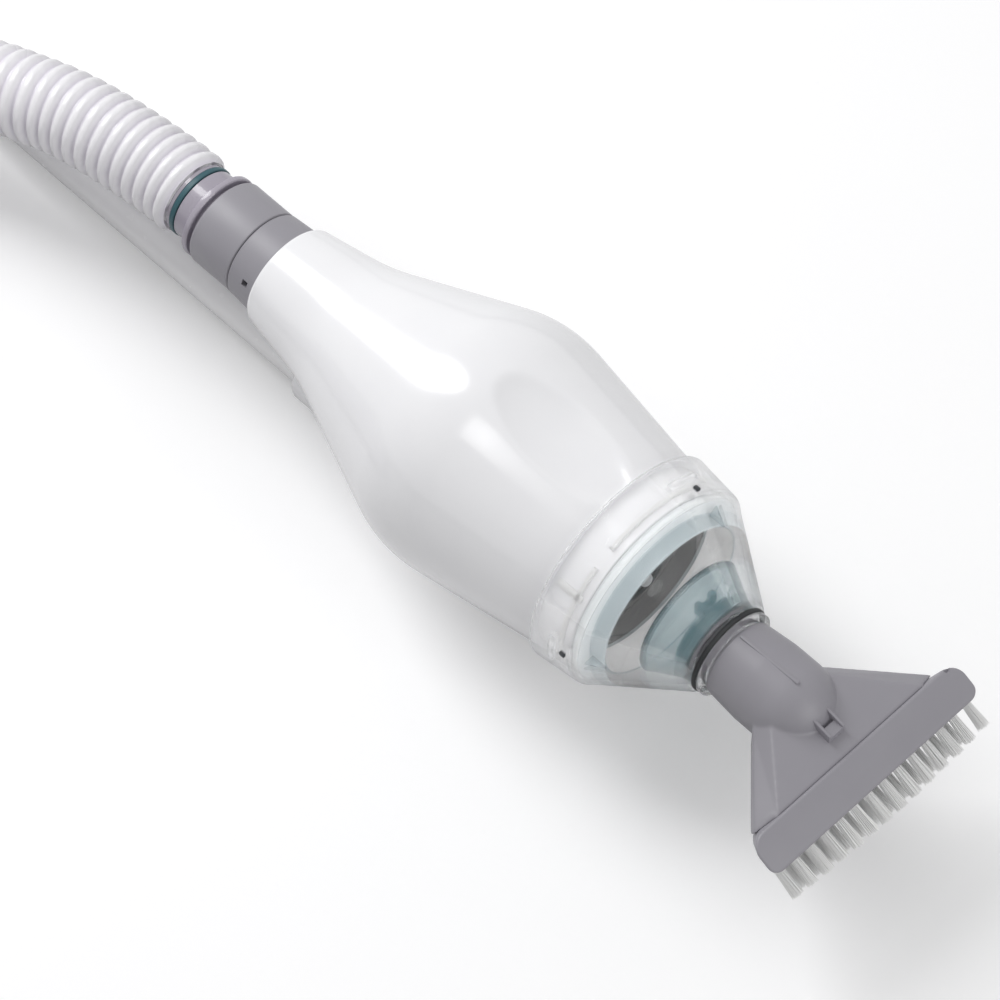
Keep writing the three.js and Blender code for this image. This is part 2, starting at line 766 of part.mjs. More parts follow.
function nozzle() {
  const channel = tongueInset + tongueWall;
  const outside = join(
    revolve([
      [neckStart - spigotDepth, 0],
      [neckStart - spigotDepth, nozzleSpigotRadius],
      [neckStart, nozzleSpigotRadius],
      [neckStart, neckRadius - 0.6],
      [neckStart + 0.6, neckRadius],
      [neckEnd - 3 * fanOverlap, neckFrontRadius],
      ...dome(neckFrontRadius, domeLength),
    ], 40),
    hull([...rearSection(fanStart, 0), ...atMouth(mouthSection(-seatGap, 0))]),
    hull(atMouth([...mouthSection(-seatGap - 2, tongueInset), ...mouthSection(tongueLength, tongueInset)])),
    neckRib(),
    clip(),
  );
  const bore = nozzleSpigotRadius - nozzleWall;
  const inside = join(
    revolve([
      [neckStart - spigotDepth - 1, 0],
      [neckStart - spigotDepth - 1, bore],
      [neckStart, bore],
      [neckStart + 3, neckRadius - nozzleWall],
      ...dome(neckFrontRadius - nozzleWall, domeLength - nozzleWall),
    ], 40),
    hull([...rearSection(fanStart - tongueWall, nozzleWall), ...atMouth(mouthSection(0, channel))]),
    hull(atMouth([...mouthSection(-1, channel), ...mouthSection(tongueLength + 1, channel)])),
  );
  const sealBed = tube(
    sealAt - seatGap,
    sealAt + bandLength + seatGap,
    nozzleSpigotRadius - grooveDepth,
    nozzleSpigotRadius + 1,
  );
  return cut(outside, inside, sealBed);
}

const nozzleSpigotRadius = sleeveBore - 2 * seatGap;
const sealAt = neckStart - spigotDepth / 2 - bandLength / 2;

const sealRing = () =>
  tube(sealAt, sealAt + bandLength, nozzleSpigotRadius - bandInset, sleeveBore - seatGap);

// Thin raised key along the top of the neck.
const neckRib = () => box(
  [neckStart + keyInset, -keyHalfWidth, neckRadius - 2],
  [neckEnd + fanOverlap, keyHalfWidth, neckFrontRadius + keyHeight],
);

// Hook for the brush's cord loop: two ribs with a cross piece, on the fan at the end of the dome.
const clip = () => {
  const start = neckEnd + domeLength - clipInset;
  const end = start + clipLength;
  const top = fanTopAt((start + end) / 2);
  const ribs = [-clipHalfSpread, clipHalfSpread].map((y) => box(
    [start, y - clipRibWidth / 2, 0],
    [end, y + clipRibWidth / 2, top + clipHeight],
  ));
  const bar = box(
    [end - clipBarLength, -clipHalfSpread, 0],
    [end, clipHalfSpread, top + clipBarHeight],
  );
  return join(...ribs, bar);
};

// ---------------------------------------------------------------- brush frame and bristles

const rowHeights = [-rowInset, -rowInset - rowSpacing];
const stripHalfWidth = (count) => ((count - 1) / 2) * tuftPitch + tuftRootRadius;
const rows = [[rowHeights[0], upperTufts], [rowHeights[1], lowerTufts]];

// Rounded outline of the frame at one height, with its rear and front corners.
function frameOutline(half, rear, front, inset, z) {
  const plan = new THREE.Shape();
  const [back, mid, side] = [rear, frameDepth - front, half - inset];
  const [r, f] = [rear - inset, front - inset];
  plan.absarc(mid, side - f, f, 0, Math.PI / 2);
  plan.absarc(back, side - r, r, Math.PI / 2, Math.PI);
  plan.absarc(back, r - side, r, Math.PI, Math.PI * 1.5);
  plan.absarc(mid, f - side, f, Math.PI * 1.5, Math.PI * 2);
  return plan.getPoints(5).map(({ x, y }) => new THREE.Vector3(x, y, z));
}

function brushFrame() {
  const bottom = frameOver - frameThickness;
  const under = [frameHalfWidth - undersideInset, undersideCorner, undersideCorner];
  const over = [frameHalfWidth, frameRearCorner, frameFrontCorner];
  const block = hull([
    ...frameOutline(...over, frameBevel, frameOver),
    ...frameOutline(...over, 0, frameOver - frameBevel),
    ...frameOutline(...under, 0, bottom + frameBevel),
    ...frameOutline(...under, frameBevel, bottom),
  ]);
  const pocketInset = tongueInset - seatGap;
  const pocket = hull([
    ...mouthSection(-1, pocketInset),
    ...mouthSection(tongueLength + seatGap, pocketInset),
  ]);
  const middle = (rowHeights[0] + rowHeights[1]) / 2;
  const slot = box(
    [tongueLength - 1, -slotHalfWidth, middle - slotHeight / 2],
    [frameDepth + 1, slotHalfWidth, middle + slotHeight / 2],
  );
  const grooves = rows.map(([z, count]) => box(
    [frameDepth - stripDepth - seatGap, -stripHalfWidth(count) - seatGap, z - stripThickness / 2 - seatGap],
    [frameDepth + 1, stripHalfWidth(count) + seatGap, z + stripThickness / 2 + seatGap],
  ));
  const notch = box(
    [-1, frameHalfWidth - notchFromEnd - notchWidth, frameOver - notchDepth],
    [frameBevel + seatGap, frameHalfWidth - notchFromEnd, frameOver + 1],
  );
  return cut(block, pocket, slot, ...grooves, notch);
}

function brushStrip([z, count]) {
  const front = frameDepth - seatGap;
  const bar = box(
    [frameDepth - stripDepth, -stripHalfWidth(count), z - stripThickness / 2],
    [front, stripHalfWidth(count), z + stripThickness / 2],
  );
  const root = front - 1;
  const tufts = range(count).map((i) => {
    const y = (i - (count - 1) / 2) * tuftPitch;
    const length = tuftLength + frameDepth - root;
    return solid(new THREE.CylinderGeometry(tuftTipRadius, tuftRootRadius, length, 9)
      .rotateZ(-Math.PI / 2)
      .translate(root + length / 2, y, z));
  });
  return join(bar, ...tufts);
}

// ---------------------------------------------------------------- pole and its socket

const headHole = (x, grow) =>
  rodZ(screwHeadRadius + grow, x, floorLevel - 1, floorLevel + screwRecess + screwHeadHeight + grow);

function poleSocket() {
  const keelEnd = socketEnd + keelLength;
  const footEnd = socketStart + footLength;
  const sleeve = revolve([
    [socketStart, 0],
    [socketStart, socketRadius - 1.6],
    [socketStart + 1.6, socketRadius],
    [footEnd, socketRadius],
    [(footEnd + keelEnd) / 2, 0.75 * socketRadius],
    [keelEnd, 0.3 * socketRadius],
    [keelEnd, 0],
  ], 32).translate([0, 0, -poleDrop]);
  const foot = hull([socketStart + 3, footEnd].flatMap((x) => [-1, 1].flatMap((side) => [
    new THREE.Vector3(x, side * footHalfWidth, floorLevel),
    new THREE.Vector3(x, side * 0.85 * socketRadius, -poleDrop - socketRadius / 2),
  ])));
  const web = box([socketStart + 6, -webHalfWidth, -poleDrop], [footEnd, webHalfWidth, 0]);
  const bed = revolve([[-1, 0], [-1, rimRadius + rimRound], ...bodyOutline(seatGap), [bodyLength, 0]], 48);
  const bore = plug(socketStart - 1, socketEnd, innerPoleRadius + seatGap, 40).translate([0, 0, -poleDrop]);
  const window = rodY(buttonRadius + slideGap, 0, 2 * socketRadius, buttonAt, -poleDrop);
  const screwCuts = screwPlaces.flatMap((x) => [screwHole(x, seatGap), headHole(x, seatGap)]);
  return cut(join(sleeve, foot, web), bed, bore, window, ...screwCuts);
}

function socketScrew(x) {
  const headTop = floorLevel + screwRecess + screwHeadHeight;
  return join(
    rodZ(screwHeadRadius, x, headTop - screwHeadHeight, headTop),
    rodZ(screwRadius, x, headTop - 1, screwTip(x), 12),
  );
}

const poleTube = (from, to, radius) => tube(from, to, radius - poleWall, radius);

function innerPole() {
  const window = rodY(buttonRadius + slideGap, 0, 2 * innerPoleRadius, buttonAt, 0);
  return cut(poleTube(innerPoleEnd, poleFront, innerPoleRadius), window);
}

const buttonSeat = Math.sqrt((innerPoleRadius - poleWall) ** 2 - buttonFlangeRadius ** 2) - seatGap;

function snapButton() {
  const top = socketRadius + buttonProud;
  return join(
    rodY(buttonRadius, buttonSeat - 1, top - 0.8, buttonAt, 0, 20),
    rodY(buttonRadius - 0.8, top - 1, top, buttonAt, 0, 20),
    rodY(buttonFlangeRadius, buttonSeat - buttonFlange, buttonSeat, buttonAt, 0, 20),
  );
}

// A coil on the wall opposite the button, shorter than its room by the travel.
function buttonSpring() {
  const poleInside = innerPoleRadius - poleWall;
  const low = seatGap + springWire - Math.sqrt(poleInside ** 2 - (springRadius + springWire) ** 2);
  const high = buttonSeat - buttonFlange - buttonTravel - seatGap - springWire;
  class Helix extends THREE.Curve {
    getPoint(t, target = new THREE.Vector3()) {
      const angle = 2 * Math.PI * springTurns * t;
      return target.set(
        buttonAt + springRadius * Math.cos(angle),
        low + (high - low) * t,
        springRadius * Math.sin(angle),
      );
    }
  }
  const wire = new THREE.Shape().absarc(0, 0, springWire, 0, 2 * Math.PI);
  return solid(new THREE.ExtrudeGeometry(wire, {
    steps: springTurns * 12,
    curveSegments: 3,
    extrudePath: new Helix(),
  }));
}

function lockCam() {
  return join(
    plug(innerPoleEnd - seatGap - camLength, innerPoleEnd - seatGap, outerPoleRadius - poleWall - seatGap),
    plug(innerPoleEnd - 1, innerPoleEnd + camSpigot, innerPoleRadius - poleWall - seatGap),
  );
}

function poleLockCollar() {
  const front = outerPoleStart + lockLip;
  const back = front - lockLength;
  return revolveRing([
    [front, innerPoleRadius + slideGap],
    [front, lockRadius - 1],
    [front - 1, lockRadius],
    [back + 1, lockRadius],
    [back, lockRadius - 1],
    [back, outerPoleRadius + slideGap],
    [outerPoleStart + seatGap, outerPoleRadius + slideGap],
    [outerPoleStart + seatGap, innerPoleRadius + slideGap],
  ], 32);
}

const gripStart = outerPoleEnd + gripLength;

function poleGrip() {
  return revolveRing([
    [gripStart, outerPoleRadius + seatGap],
    [gripStart, gripRadius - 1.4],
    [gripStart - 1.4, gripRadius],
    [outerPoleEnd, gripRadius],
    [outerPoleEnd, outerPoleRadius + seatGap],
  ], 32);
}

const capStart = outerPoleEnd - seatGap;
const loopPivot = capStart - capLength - lugLength / 2;

function poleEndCap() {
  const cap = revolve([
    [capStart + capSpigot, 0],
    [capStart + capSpigot, outerPoleRadius - poleWall - seatGap],
    [capStart, outerPoleRadius - poleWall - seatGap],
    [capStart, gripRadius - 1],
    ...eased([
      [capStart - 1, gripRadius - 1],
      [capStart - capLength, gripRadius - 1, capLength / 2],
      [capStart - capLength, 0],
    ], 3),
  ], 32);
  const lug = box(
    [loopPivot - lugLength / 2, -lugWidth / 2, -lugLength / 2],
    [capStart - 1, lugWidth / 2, lugLength / 2],
  );
  const eye = loopRod * Math.SQRT2 + slideGap;
  return cut(join(cap, lug), rodY(eye, -lugWidth, lugWidth, loopPivot, 0));
}

// A square-sectioned loop that passes through the eye of the end cap, built round its pivot.
function hangLoop() {
  const outline = (grow, round) => {
    const [near, far] = [loopRod + grow, -loopLength - grow];
    const half = loopHalfWidth + grow;
    const shape = new THREE.Shape();
    shape.absarc(near - round, half - round, round, 0, Math.PI / 2);
    shape.absarc(far + round, half - round, round, Math.PI / 2, Math.PI);
    shape.absarc(far + round, round - half, round, Math.PI, Math.PI * 1.5);
    shape.absarc(near - round, round - half, round, Math.PI * 1.5, Math.PI * 2);
    return new THREE.ExtrudeGeometry(shape, { depth: 2 * loopRod, curveSegments: 5, bevelEnabled: false })
      .translate(0, 0, -loopRod);
  };
  const inside = outline(-2 * loopRod, loopRound - 2 * loopRod).scale(1, 1, 2);
  return cut(solid(outline(0, loopRound)), solid(inside));
}

// The loop hangs from its pivot until its end meets the floor.
const loopDroop = Math.asin((socketRadius - seatGap - loopRod) / loopLength);

// ---------------------------------------------------------------- hose

// Height of the turns on the floor and of the turn that lies in their groove, over the floor.
const turnSpacing = 2 * hoseRadius + 0.4;
const lowTurn = coilLift + hoseRadius;
const highTurn = lowTurn + Math.sqrt(turnSpacing ** 2 - (turnSpacing / 2) ** 2);

// A ring round the coil's upright axis, from [radius, height] points over the floor.
const coilRing = (outline) =>
  solid(new THREE.LatheGeometry([...outline, outline[0]].map(([r, h]) => new THREE.Vector2(r, h)), 48)
    .rotateX(Math.PI / 2)
    .translate(...coilCentre, floorLevel));

// The outer shape of two turns side by side with one on top.
const coilOutline = (grow) => {
  const low = coilLift - grow;
  const shoulder = lowTurn + 0.3 * hoseRadius;
  const high = highTurn + hoseRadius + grow;
  const half = turnSpacing / 2 + hoseRadius + grow;
  const topHalf = 0.9 * hoseRadius + grow;
  return [
    [coilRadius - half, low],
    [coilRadius + half, low],
    [coilRadius + half, shoulder],
    [coilRadius + topHalf, high],
    [coilRadius - topHalf, high],
    [coilRadius - half, shoulder],
  ];
};

// Moves what is built along X at the origin to its place on the coil.
const onCoil = (angle, radius, height) => new THREE.Matrix4()
  .makeRotationZ(angle + Math.PI / 2)
  .setPosition(
    coilCentre[0] + radius * Math.cos(angle),
    coilCentre[1] + radius * Math.sin(angle),
    floorLevel + height,
  );

const placed = (body, matrix) => body.transform(matrix.toArray());

function hoseCoil() {
  const seat = onCoil(endCuffAngle, coilRadius, highTurn);
  const half = endCuffLength / 2 + seatGap;
  const room = join(
    plug(-half, half, endCuffRadius + seatGap, 32),
    box([-half, -2 * hoseRadius, 0], [half, 2 * hoseRadius, 2 * hoseRadius]),
  );
  return cut(coilRing(coilOutline(0)), placed(room, seat));
}

const hoseEndCuff = () => placed(
  tube(-endCuffLength / 2, endCuffLength / 2, endCuffRadius - endCuffWall, endCuffRadius, 32),
  onCoil(endCuffAngle, coilRadius, highTurn),
);

// A strap round all the turns at one place.
function hoseTie() {
  const loop = cut(coilRing(coilOutline(seatGap + tieThickness)), coilRing(coilOutline(seatGap)));
  const reach = 3 * hoseRadius;
  const window = box([-tieWidth / 2, -reach, -reach], [tieWidth / 2, reach, 2 * reach]);
  return loop.intersect(placed(window, onCoil(tieAngle, coilRadius, lowTurn)));
}

// The free stretch from the cuff to the coil, cut where it lies against the coil.
function hoseTube() {
  const section = new THREE.Shape().absarc(0, 0, hoseRadius, 0, 2 * Math.PI);
  const path = new THREE.CatmullRomCurve3(hoseRoute.map((point) => new THREE.Vector3(...point)));
  const sweep = solid(new THREE.ExtrudeGeometry(section, { steps: 14, curveSegments: 6, extrudePath: path }));
  return cut(sweep, coilRing(coilOutline(seatGap)));
}

// ---------------------------------------------------------------- the cleaner

// A group of parts that move together.
const body = (...parts) => {
  const group = new THREE.Group();
  group.add(...parts);
  return group;
};

const onPole = (...parts) => {
  const group = body(...parts);
  group.position.z = -poleDrop;
  return group;
};

const brush = body(
  part('brush_frame', brushFrame(), greyPlastic),
  part('brush_strip_upper', brushStrip(rows[0]), bristleFibre),
  part('brush_strip_lower', brushStrip(rows[1]), bristleFibre),
);
brush.applyMatrix4(mouthPlace);

const nozzleGroup = body(
  part('nozzle', nozzle(), greyPlastic),
  part('nozzle_seal', sealRing(), blackRubber),
  brush,
);

const housingGroup = body(
  part('front_housing', frontHousing(), clearPlastic),
  part('housing_seal', housingSeal(), blackRubber),
  part('inlet_cup', inletCup(), tealPlastic),
  part('flap_pin', rodY(pinRadius, -pinLength / 2, pinLength / 2, pinX, pinZ, 12), steel),
  part('inlet_flap', inletFlap(), flapPlastic),
  nozzleGroup,
);

const filterGroup = body(
  part('filter_frame', filterFrame(), palePlastic),
  part('filter_gasket', filterGasket(), palePlastic),
  part('filter_bag', filterBag(), meshFabric),
  part('filter_cage', filterCage(), palePlastic),
  part('filter_stem', filterStem(), palePlastic),
  housingGroup,
);

const swivelGroup = body(
  part('swivel_collar', swivelCollar(), greyPlastic),
  part('hose_cuff', hoseCuff(), cuffPlastic),
  part('cuff_seal', bandAt(cuffGrooveStart, cuffRadius, cuffRadius + bandProud), blackRubber),
);

const loop = part('hang_loop', hangLoop(), greyPlastic);
loop.position.x = loopPivot;
loop.rotation.y = -loopDroop;

const poleGroup = onPole(
  part('pole_inner', innerPole(), paintedPole),
  part('lock_cam', lockCam(), greyPlastic),
  part('snap_button', snapButton(), steel),
  part('button_spring', buttonSpring(), steel),
  part('pole_outer', poleTube(outerPoleEnd, outerPoleStart, outerPoleRadius), paintedPole),
  part('pole_lock_collar', poleLockCollar(), greyPlastic),
  part('pole_grip', poleGrip(), darkGrip),
  part('pole_end_cap', poleEndCap(), greyPlastic),
  loop,
);

const hoseGroup = body(
  part('hose_tube', hoseTube(), hosePlastic),
  part('hose_coil', hoseCoil(), hosePlastic),
  part('hose_end_cuff', hoseEndCuff(), greyPlastic),
  part('hose_tie', hoseTie(), darkGrip),
);

const cleaner = body(
  part('body_shell', bodyShell(), whiteShell),
  part('outlet_collar', outletCollar(), greyPlastic),
  part('swivel_seal', bandAt(sealStart, stubRadius, stubRadius + seatGap), blackRubber),
  part('pole_socket', poleSocket(), whiteShell),
  part('socket_screw_rear', socketScrew(screwPlaces[0]), steel),
  part('socket_screw_front', socketScrew(screwPlaces[1]), steel),
  filterGroup,
  swivelGroup,
  poleGroup,
  hoseGroup,
);

// Stand the cleaner on the floor, with the middle of its own length over the origin.
const loopEnd = loopPivot - loopLength * Math.cos(loopDroop) - loopRod * Math.sin(loopDroop);
const tuftTip = new THREE.Vector3(frameDepth + tuftLength, 0, rowHeights[0] + tuftTipRadius)
  .applyMatrix4(mouthPlace);
cleaner.position.set(-(loopEnd + tuftTip.x) / 2, 0, -floorLevel);

export default cleaner;
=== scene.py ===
# %% [markdown]
# # A suction cleaner for small pools
# The construction model gives every solid its real place and size. This lesson dresses it: smooth
# moulded shells, a clear housing, real bristles, a ribbed hose and a finish on every surface.
# Everything is in metres. Along the cleaner, places are told in millimetres from the rear rim of
# the white body, because that is how its drawings are written.

# %% Load the construction model
import math
import random

import bmesh
import bpy
from mathutils import Euler, Matrix, Vector


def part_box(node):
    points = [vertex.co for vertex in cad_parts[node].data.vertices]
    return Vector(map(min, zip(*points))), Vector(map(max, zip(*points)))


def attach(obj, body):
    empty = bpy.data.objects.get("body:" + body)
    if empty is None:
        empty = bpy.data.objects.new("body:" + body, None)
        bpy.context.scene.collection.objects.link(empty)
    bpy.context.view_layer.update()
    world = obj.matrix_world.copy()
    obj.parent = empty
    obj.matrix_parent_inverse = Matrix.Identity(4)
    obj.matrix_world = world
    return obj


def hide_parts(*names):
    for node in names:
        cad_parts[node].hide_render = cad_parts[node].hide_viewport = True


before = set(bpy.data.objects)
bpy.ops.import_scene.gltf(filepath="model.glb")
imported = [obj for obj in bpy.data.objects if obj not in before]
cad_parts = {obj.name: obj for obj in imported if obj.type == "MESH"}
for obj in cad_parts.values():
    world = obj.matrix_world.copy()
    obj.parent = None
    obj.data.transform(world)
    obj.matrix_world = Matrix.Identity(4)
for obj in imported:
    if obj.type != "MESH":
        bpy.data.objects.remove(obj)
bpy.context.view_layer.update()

# %% [markdown]
# The axis of the cleaner runs along X through the middle of the body. The box of the outlet collar
# gives its height, and the box of the body shell the place of the rear rim, so that nothing here
# is typed twice.

# %% Find the axis and the rear rim
MM = 0.001
rim_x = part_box("body_shell")[0][0]
axis_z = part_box("outlet_collar")[0][2] / 2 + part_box("outlet_collar")[1][2] / 2


def at(x, y=0.0, z=0.0):
    """A point in metres from millimetres along, across and above the cleaner's axis."""
    return Vector((rim_x + x * MM, y * MM, axis_z + z * MM))


def along(node, end):
    """How far along the cleaner a construction solid starts (end 0) or stops (end 1)."""
    return (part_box(node)[end][0] - rim_x) / MM


print(f"axis {axis_z / MM:.1f} mm over the floor, rear rim at {rim_x / MM:.1f} mm")

# %% [markdown]
# The camera looks down on the cleaner from its front right, through a long lens that keeps the
# parallel lines of the pole and the body nearly parallel. It is aimed a little beside the axis.

# %% Camera
VIEW_AZIMUTH, VIEW_ELEVATION = math.radians(45.3), math.radians(57.7)
VIEW_DISTANCE = 2.5


def view_axes(azimuth, elevation):
    """The camera's right, up and backward directions."""
    right = Vector((math.cos(azimuth), math.sin(azimuth), 0))
    back = Vector((
        math.sin(azimuth) * math.cos(elevation),
        -math.cos(azimuth) * math.cos(elevation),
        math.sin(elevation),
    ))
    return right, back.cross(right), back


right, up, back = view_axes(VIEW_AZIMUTH, VIEW_ELEVATION)
aim = at(85.8) + right * 0.04725 - up * 0.06211
bpy.ops.object.select_all(action="DESELECT")
bpy.ops.object.camera_add()
camera = bpy.context.object
camera.name = "camera"
camera.data.lens = 180
camera.data.clip_end = 50
camera_turn = Matrix((right, up, back)).transposed().to_4x4()
camera.matrix_world = Matrix.Translation(aim + back * VIEW_DISTANCE) @ camera_turn
bpy.context.scene.camera = camera
bpy.context.scene.view_settings.view_transform = "Standard"
print("camera at", tuple(round(v, 2) for v in camera.location))

# %% [markdown]
# ## The route of the hose
# A hose cannot be drawn by eye: it has one length, and no bend tighter than about four times its
# thickness. It leaves the cuff straight, sinks to the floor in one easy curve, and what is not in
# use lies in a round coil: two turns side by side on the floor and one in the groove on top.

# %% The free stretch and the turns
HOSE_RADIUS = 23.8
COIL_RADIUS, COIL_CENTRE = 240, (-390, -335)
TURN_SPACING = 2 * HOSE_RADIUS + 0.4
LOW_TURN = 1.9 + HOSE_RADIUS
HIGH_TURN = LOW_TURN + TURN_SPACING * math.sqrt(3) / 2
CROSSING_RISE = 6

hose_route = [
    (-69.4, 0, 0), (-78, 0, 0), (-92, -0.9, 0), (-112, -3, 0), (-134, -6, -0.5),
    (-156, -10, -2), (-178, -16, -4.5), (-200, -22, -8.5), (-222, -30, -14),
    (-244, -38, -20.5), (-266, -46, -28), (-288, -53, -35.5), (-310, -59, -42.5),
    (-332, -64, -48.5), (-354, -68, -52.8), (-372, -70, -55),
]


def ease(value, start, end):
    """0 before start, 1 after end, and a smooth step between."""
    t = min(max((value - start) / (end - start), 0), 1)
    return t * t * (3 - 2 * t)


def coil_point(degrees):
    """A point of the coil, from 90 degrees where the hose comes in to 1020 where it ends."""
    radius = COIL_RADIUS + TURN_SPACING / 2
    radius -= TURN_SPACING * ease(degrees, 350, 450)
    radius += TURN_SPACING / 2 * ease(degrees, 700, 800)
    height = LOW_TURN + (HIGH_TURN - LOW_TURN) * ease(degrees, 630, 730)
    height += CROSSING_RISE * ease(degrees, 715, 770) * (1 - ease(degrees, 795, 850))
    angle = math.radians(degrees)
    x = COIL_CENTRE[0] + radius * math.cos(angle)
    y = COIL_CENTRE[1] + radius * math.sin(angle)
    return x, y, height - axis_z / MM


COIL_START, COIL_END, COIL_STEP = 90, 1020, 10
coil_turns = [coil_point(angle) for angle in range(COIL_START, COIL_END + 1, COIL_STEP)]
hose_points = [at(*point) for point in hose_route + coil_turns]

# %% [markdown]
# ## Helpers for modelling by hand
# An operator acts on everything that is selected, and the construction model arrives selected.
# So each step first selects exactly what it works on: one object, or the faces, edges or corners
# that pass a test on their place.

# %% Selecting and finishing
WELD = 0.00001
CRISP = 35


def only(*objects):
    """Selects just these objects, the first one active."""
    if bpy.context.mode != "OBJECT":
        bpy.ops.object.mode_set(mode="OBJECT")
    bpy.ops.object.select_all(action="DESELECT")
    for obj in objects:
        obj.select_set(True)
    bpy.context.view_layer.objects.active = objects[0]


def edit(obj, kind="VERT"):
    """Opens one object for editing with nothing in it selected."""
    only(obj)
    bpy.ops.object.mode_set(mode="EDIT")
    bpy.ops.mesh.select_mode(type=kind)
    bpy.ops.mesh.select_all(action="DESELECT")


def pick(obj, kind, test):
    """Selects the corners, edges or faces whose middle passes the test."""
    shape = bmesh.from_edit_mesh(obj.data)
    items = {"verts": shape.verts, "edges": shape.edges, "faces": shape.faces}[kind]
    for item in items:
        if kind == "verts":
            middle = item.co
        elif kind == "edges":
            middle = (item.verts[0].co + item.verts[1].co) / 2
        else:
            middle = item.calc_center_median()
        item.select_set(bool(test(middle)))
    shape.select_flush_mode()
    bmesh.update_edit_mesh(obj.data)


def place(obj):
    """Back to object mode, with the object's place, turn and size put into its mesh."""
    only(obj)
    bpy.ops.object.transform_apply(location=True, rotation=True, scale=True)


def moved(obj, motion):
    """Moves a finished piece by a matrix, and puts the move into its mesh."""
    obj.matrix_world = motion @ obj.matrix_world
    place(obj)
    return obj


def shift_corners(obj, test, x=0.0, y=0.0, z=0.0):
    """Moves the corners that pass the test by this many millimetres."""
    edit(obj)
    pick(obj, "verts", test)
    bpy.ops.transform.translate(value=(x * MM, y * MM, z * MM))
    bpy.ops.object.mode_set(mode="OBJECT")


def weld(obj):
    """Merges the corners that lie on each other."""
    edit(obj)
    bpy.ops.mesh.select_all(action="SELECT")
    bpy.ops.mesh.remove_doubles(threshold=WELD)
    bpy.ops.object.mode_set(mode="OBJECT")


def twin_of(obj):
    """A copy with a mesh of its own."""
    twin = obj.copy()
    twin.data = obj.data.copy()
    bpy.context.collection.objects.link(twin)
    return twin


def finish_mesh(obj, sharp=CRISP):
    """Smooth shading with edges kept crisp where the surface turns by more than sharp degrees."""
    place(obj)
    bpy.ops.object.shade_smooth_by_angle(angle=math.radians(sharp))
    return obj


def bake_modifier(obj, kind, **settings):
    """Adds a modifier, sets it and applies it."""
    only(obj)
    modifier = obj.modifiers.new(kind.lower(), kind)
    for name, value in settings.items():
        setattr(modifier, name, value)
    bpy.ops.object.modifier_apply(modifier=modifier.name)


def join_pieces(name, *objects):
    """Makes one object of several, under this name."""
    only(*objects)
    bpy.ops.object.join()
    objects[0].name = name
    return objects[0]


# %% [markdown]
# Most of this cleaner is turned: body, rings, collars, tubes. One circle, pulled along the axis
# ring by ring and widened or narrowed as it goes, makes each of them. When the outline comes back
# to its start, the last ring is welded to the first, and the shell has a true inside wall.

# %% Turning a shape round the axis


def eased(corners, steps=8):
    """Straight stretches between [x, radius, ease] corners, each rounded over its ease."""
    points = []
    for i, (x, radius, *rest) in enumerate(corners):
        here = Vector((x, radius))
        if not rest:
            points.append((x, radius))
            continue
        before = Vector(corners[i - 1][:2]) - here
        after = Vector(corners[(i + 1) % len(corners)][:2]) - here
        start = here + before.normalized() * rest[0]
        end = here + after.normalized() * rest[0]
        for step in range(steps + 1):
            t = step / steps
            point = start * (1 - t) ** 2 + here * 2 * t * (1 - t) + end * t * t
            points.append((point.x, point.y))
    return points


def turned(name, outline, sides=96, centre=(0, 0), sharp=CRISP, origin=at, closed=True):
    """A ring from a closed outline of (x, radius), or a solid if it runs from radius 0 to 0."""
    across, above = centre
    solid = outline[0][1] == 0
    rings = [point for point in outline if point[1] > 0]
    first = origin(rings[0][0], across, above)
    bpy.ops.object.select_all(action="DESELECT")
    bpy.ops.mesh.primitive_circle_add(
        vertices=sides,
        radius=rings[0][1] * MM,
        location=first,
        rotation=(0, math.pi / 2, 0),
        fill_type="NGON" if solid else "NOTHING",
    )
    obj = bpy.context.object
    obj.name = name
    place(obj)
    bpy.ops.object.mode_set(mode="EDIT")
    bpy.ops.mesh.select_all(action="SELECT")
    bpy.ops.mesh.select_mode(type="EDGE")
    if closed and not solid:
        rings = rings + [rings[0]]
    for (x, radius), (next_x, next_radius) in zip(rings, rings[1:]):
        bpy.ops.mesh.extrude_region_move(
            TRANSFORM_OT_translate={"value": ((next_x - x) * MM, 0, 0)},
        )
        if next_radius != radius:
            scale = next_radius / radius
            bpy.ops.transform.resize(
                value=(1, scale, scale),
                center_override=origin(next_x, across, above),
            )
    bpy.ops.mesh.select_all(action="SELECT")
    bpy.ops.mesh.remove_doubles(threshold=WELD)
    bpy.ops.mesh.normals_make_consistent(inside=False)
    bpy.ops.object.mode_set(mode="OBJECT")
    return finish_mesh(obj, sharp)


def tube(name, start, end, inner, outer, soft=0.4, **extra):
    """A plain ring with softened outer edges."""
    outline = [
        (start, inner),
        (start, outer - soft),
        (start + soft, outer),
        (end - soft, outer),
        (end, outer - soft),
        (end, inner),
    ]
    return turned(name, outline, **extra)


# %% [markdown]
# ## Finishes
# A finish is a small graph of nodes. Written as plain sums it is far easier to read, so one class
# wraps a socket and lets `+`, `-` and `*` add the Math nodes. Colours are mixed by Mix nodes,
# because a Math node would turn them grey.

# %% Sums with sockets


class Wire:
    """The output of a node. Sums with it add Math nodes to the same finish."""

    def __init__(self, finish, socket):
        self.finish = finish
        self.socket = socket

    def sum_with(self, operation, first, second):
        """A Math node between two wires, or a wire and a number."""
        return self.finish.node("ShaderNodeMath", {"operation": operation}, {0: first, 1: second})

    def __add__(self, other):
        return self.sum_with("ADD", self, other)

    def __sub__(self, other):
        return self.sum_with("SUBTRACT", self, other)

    def __rsub__(self, other):
        return self.sum_with("SUBTRACT", other, self)

    def __mul__(self, other):
        return self.sum_with("MULTIPLY", self, other)

    def __pow__(self, other):
        return self.sum_with("POWER", self, other)

    __radd__ = __add__
    __rmul__ = __mul__


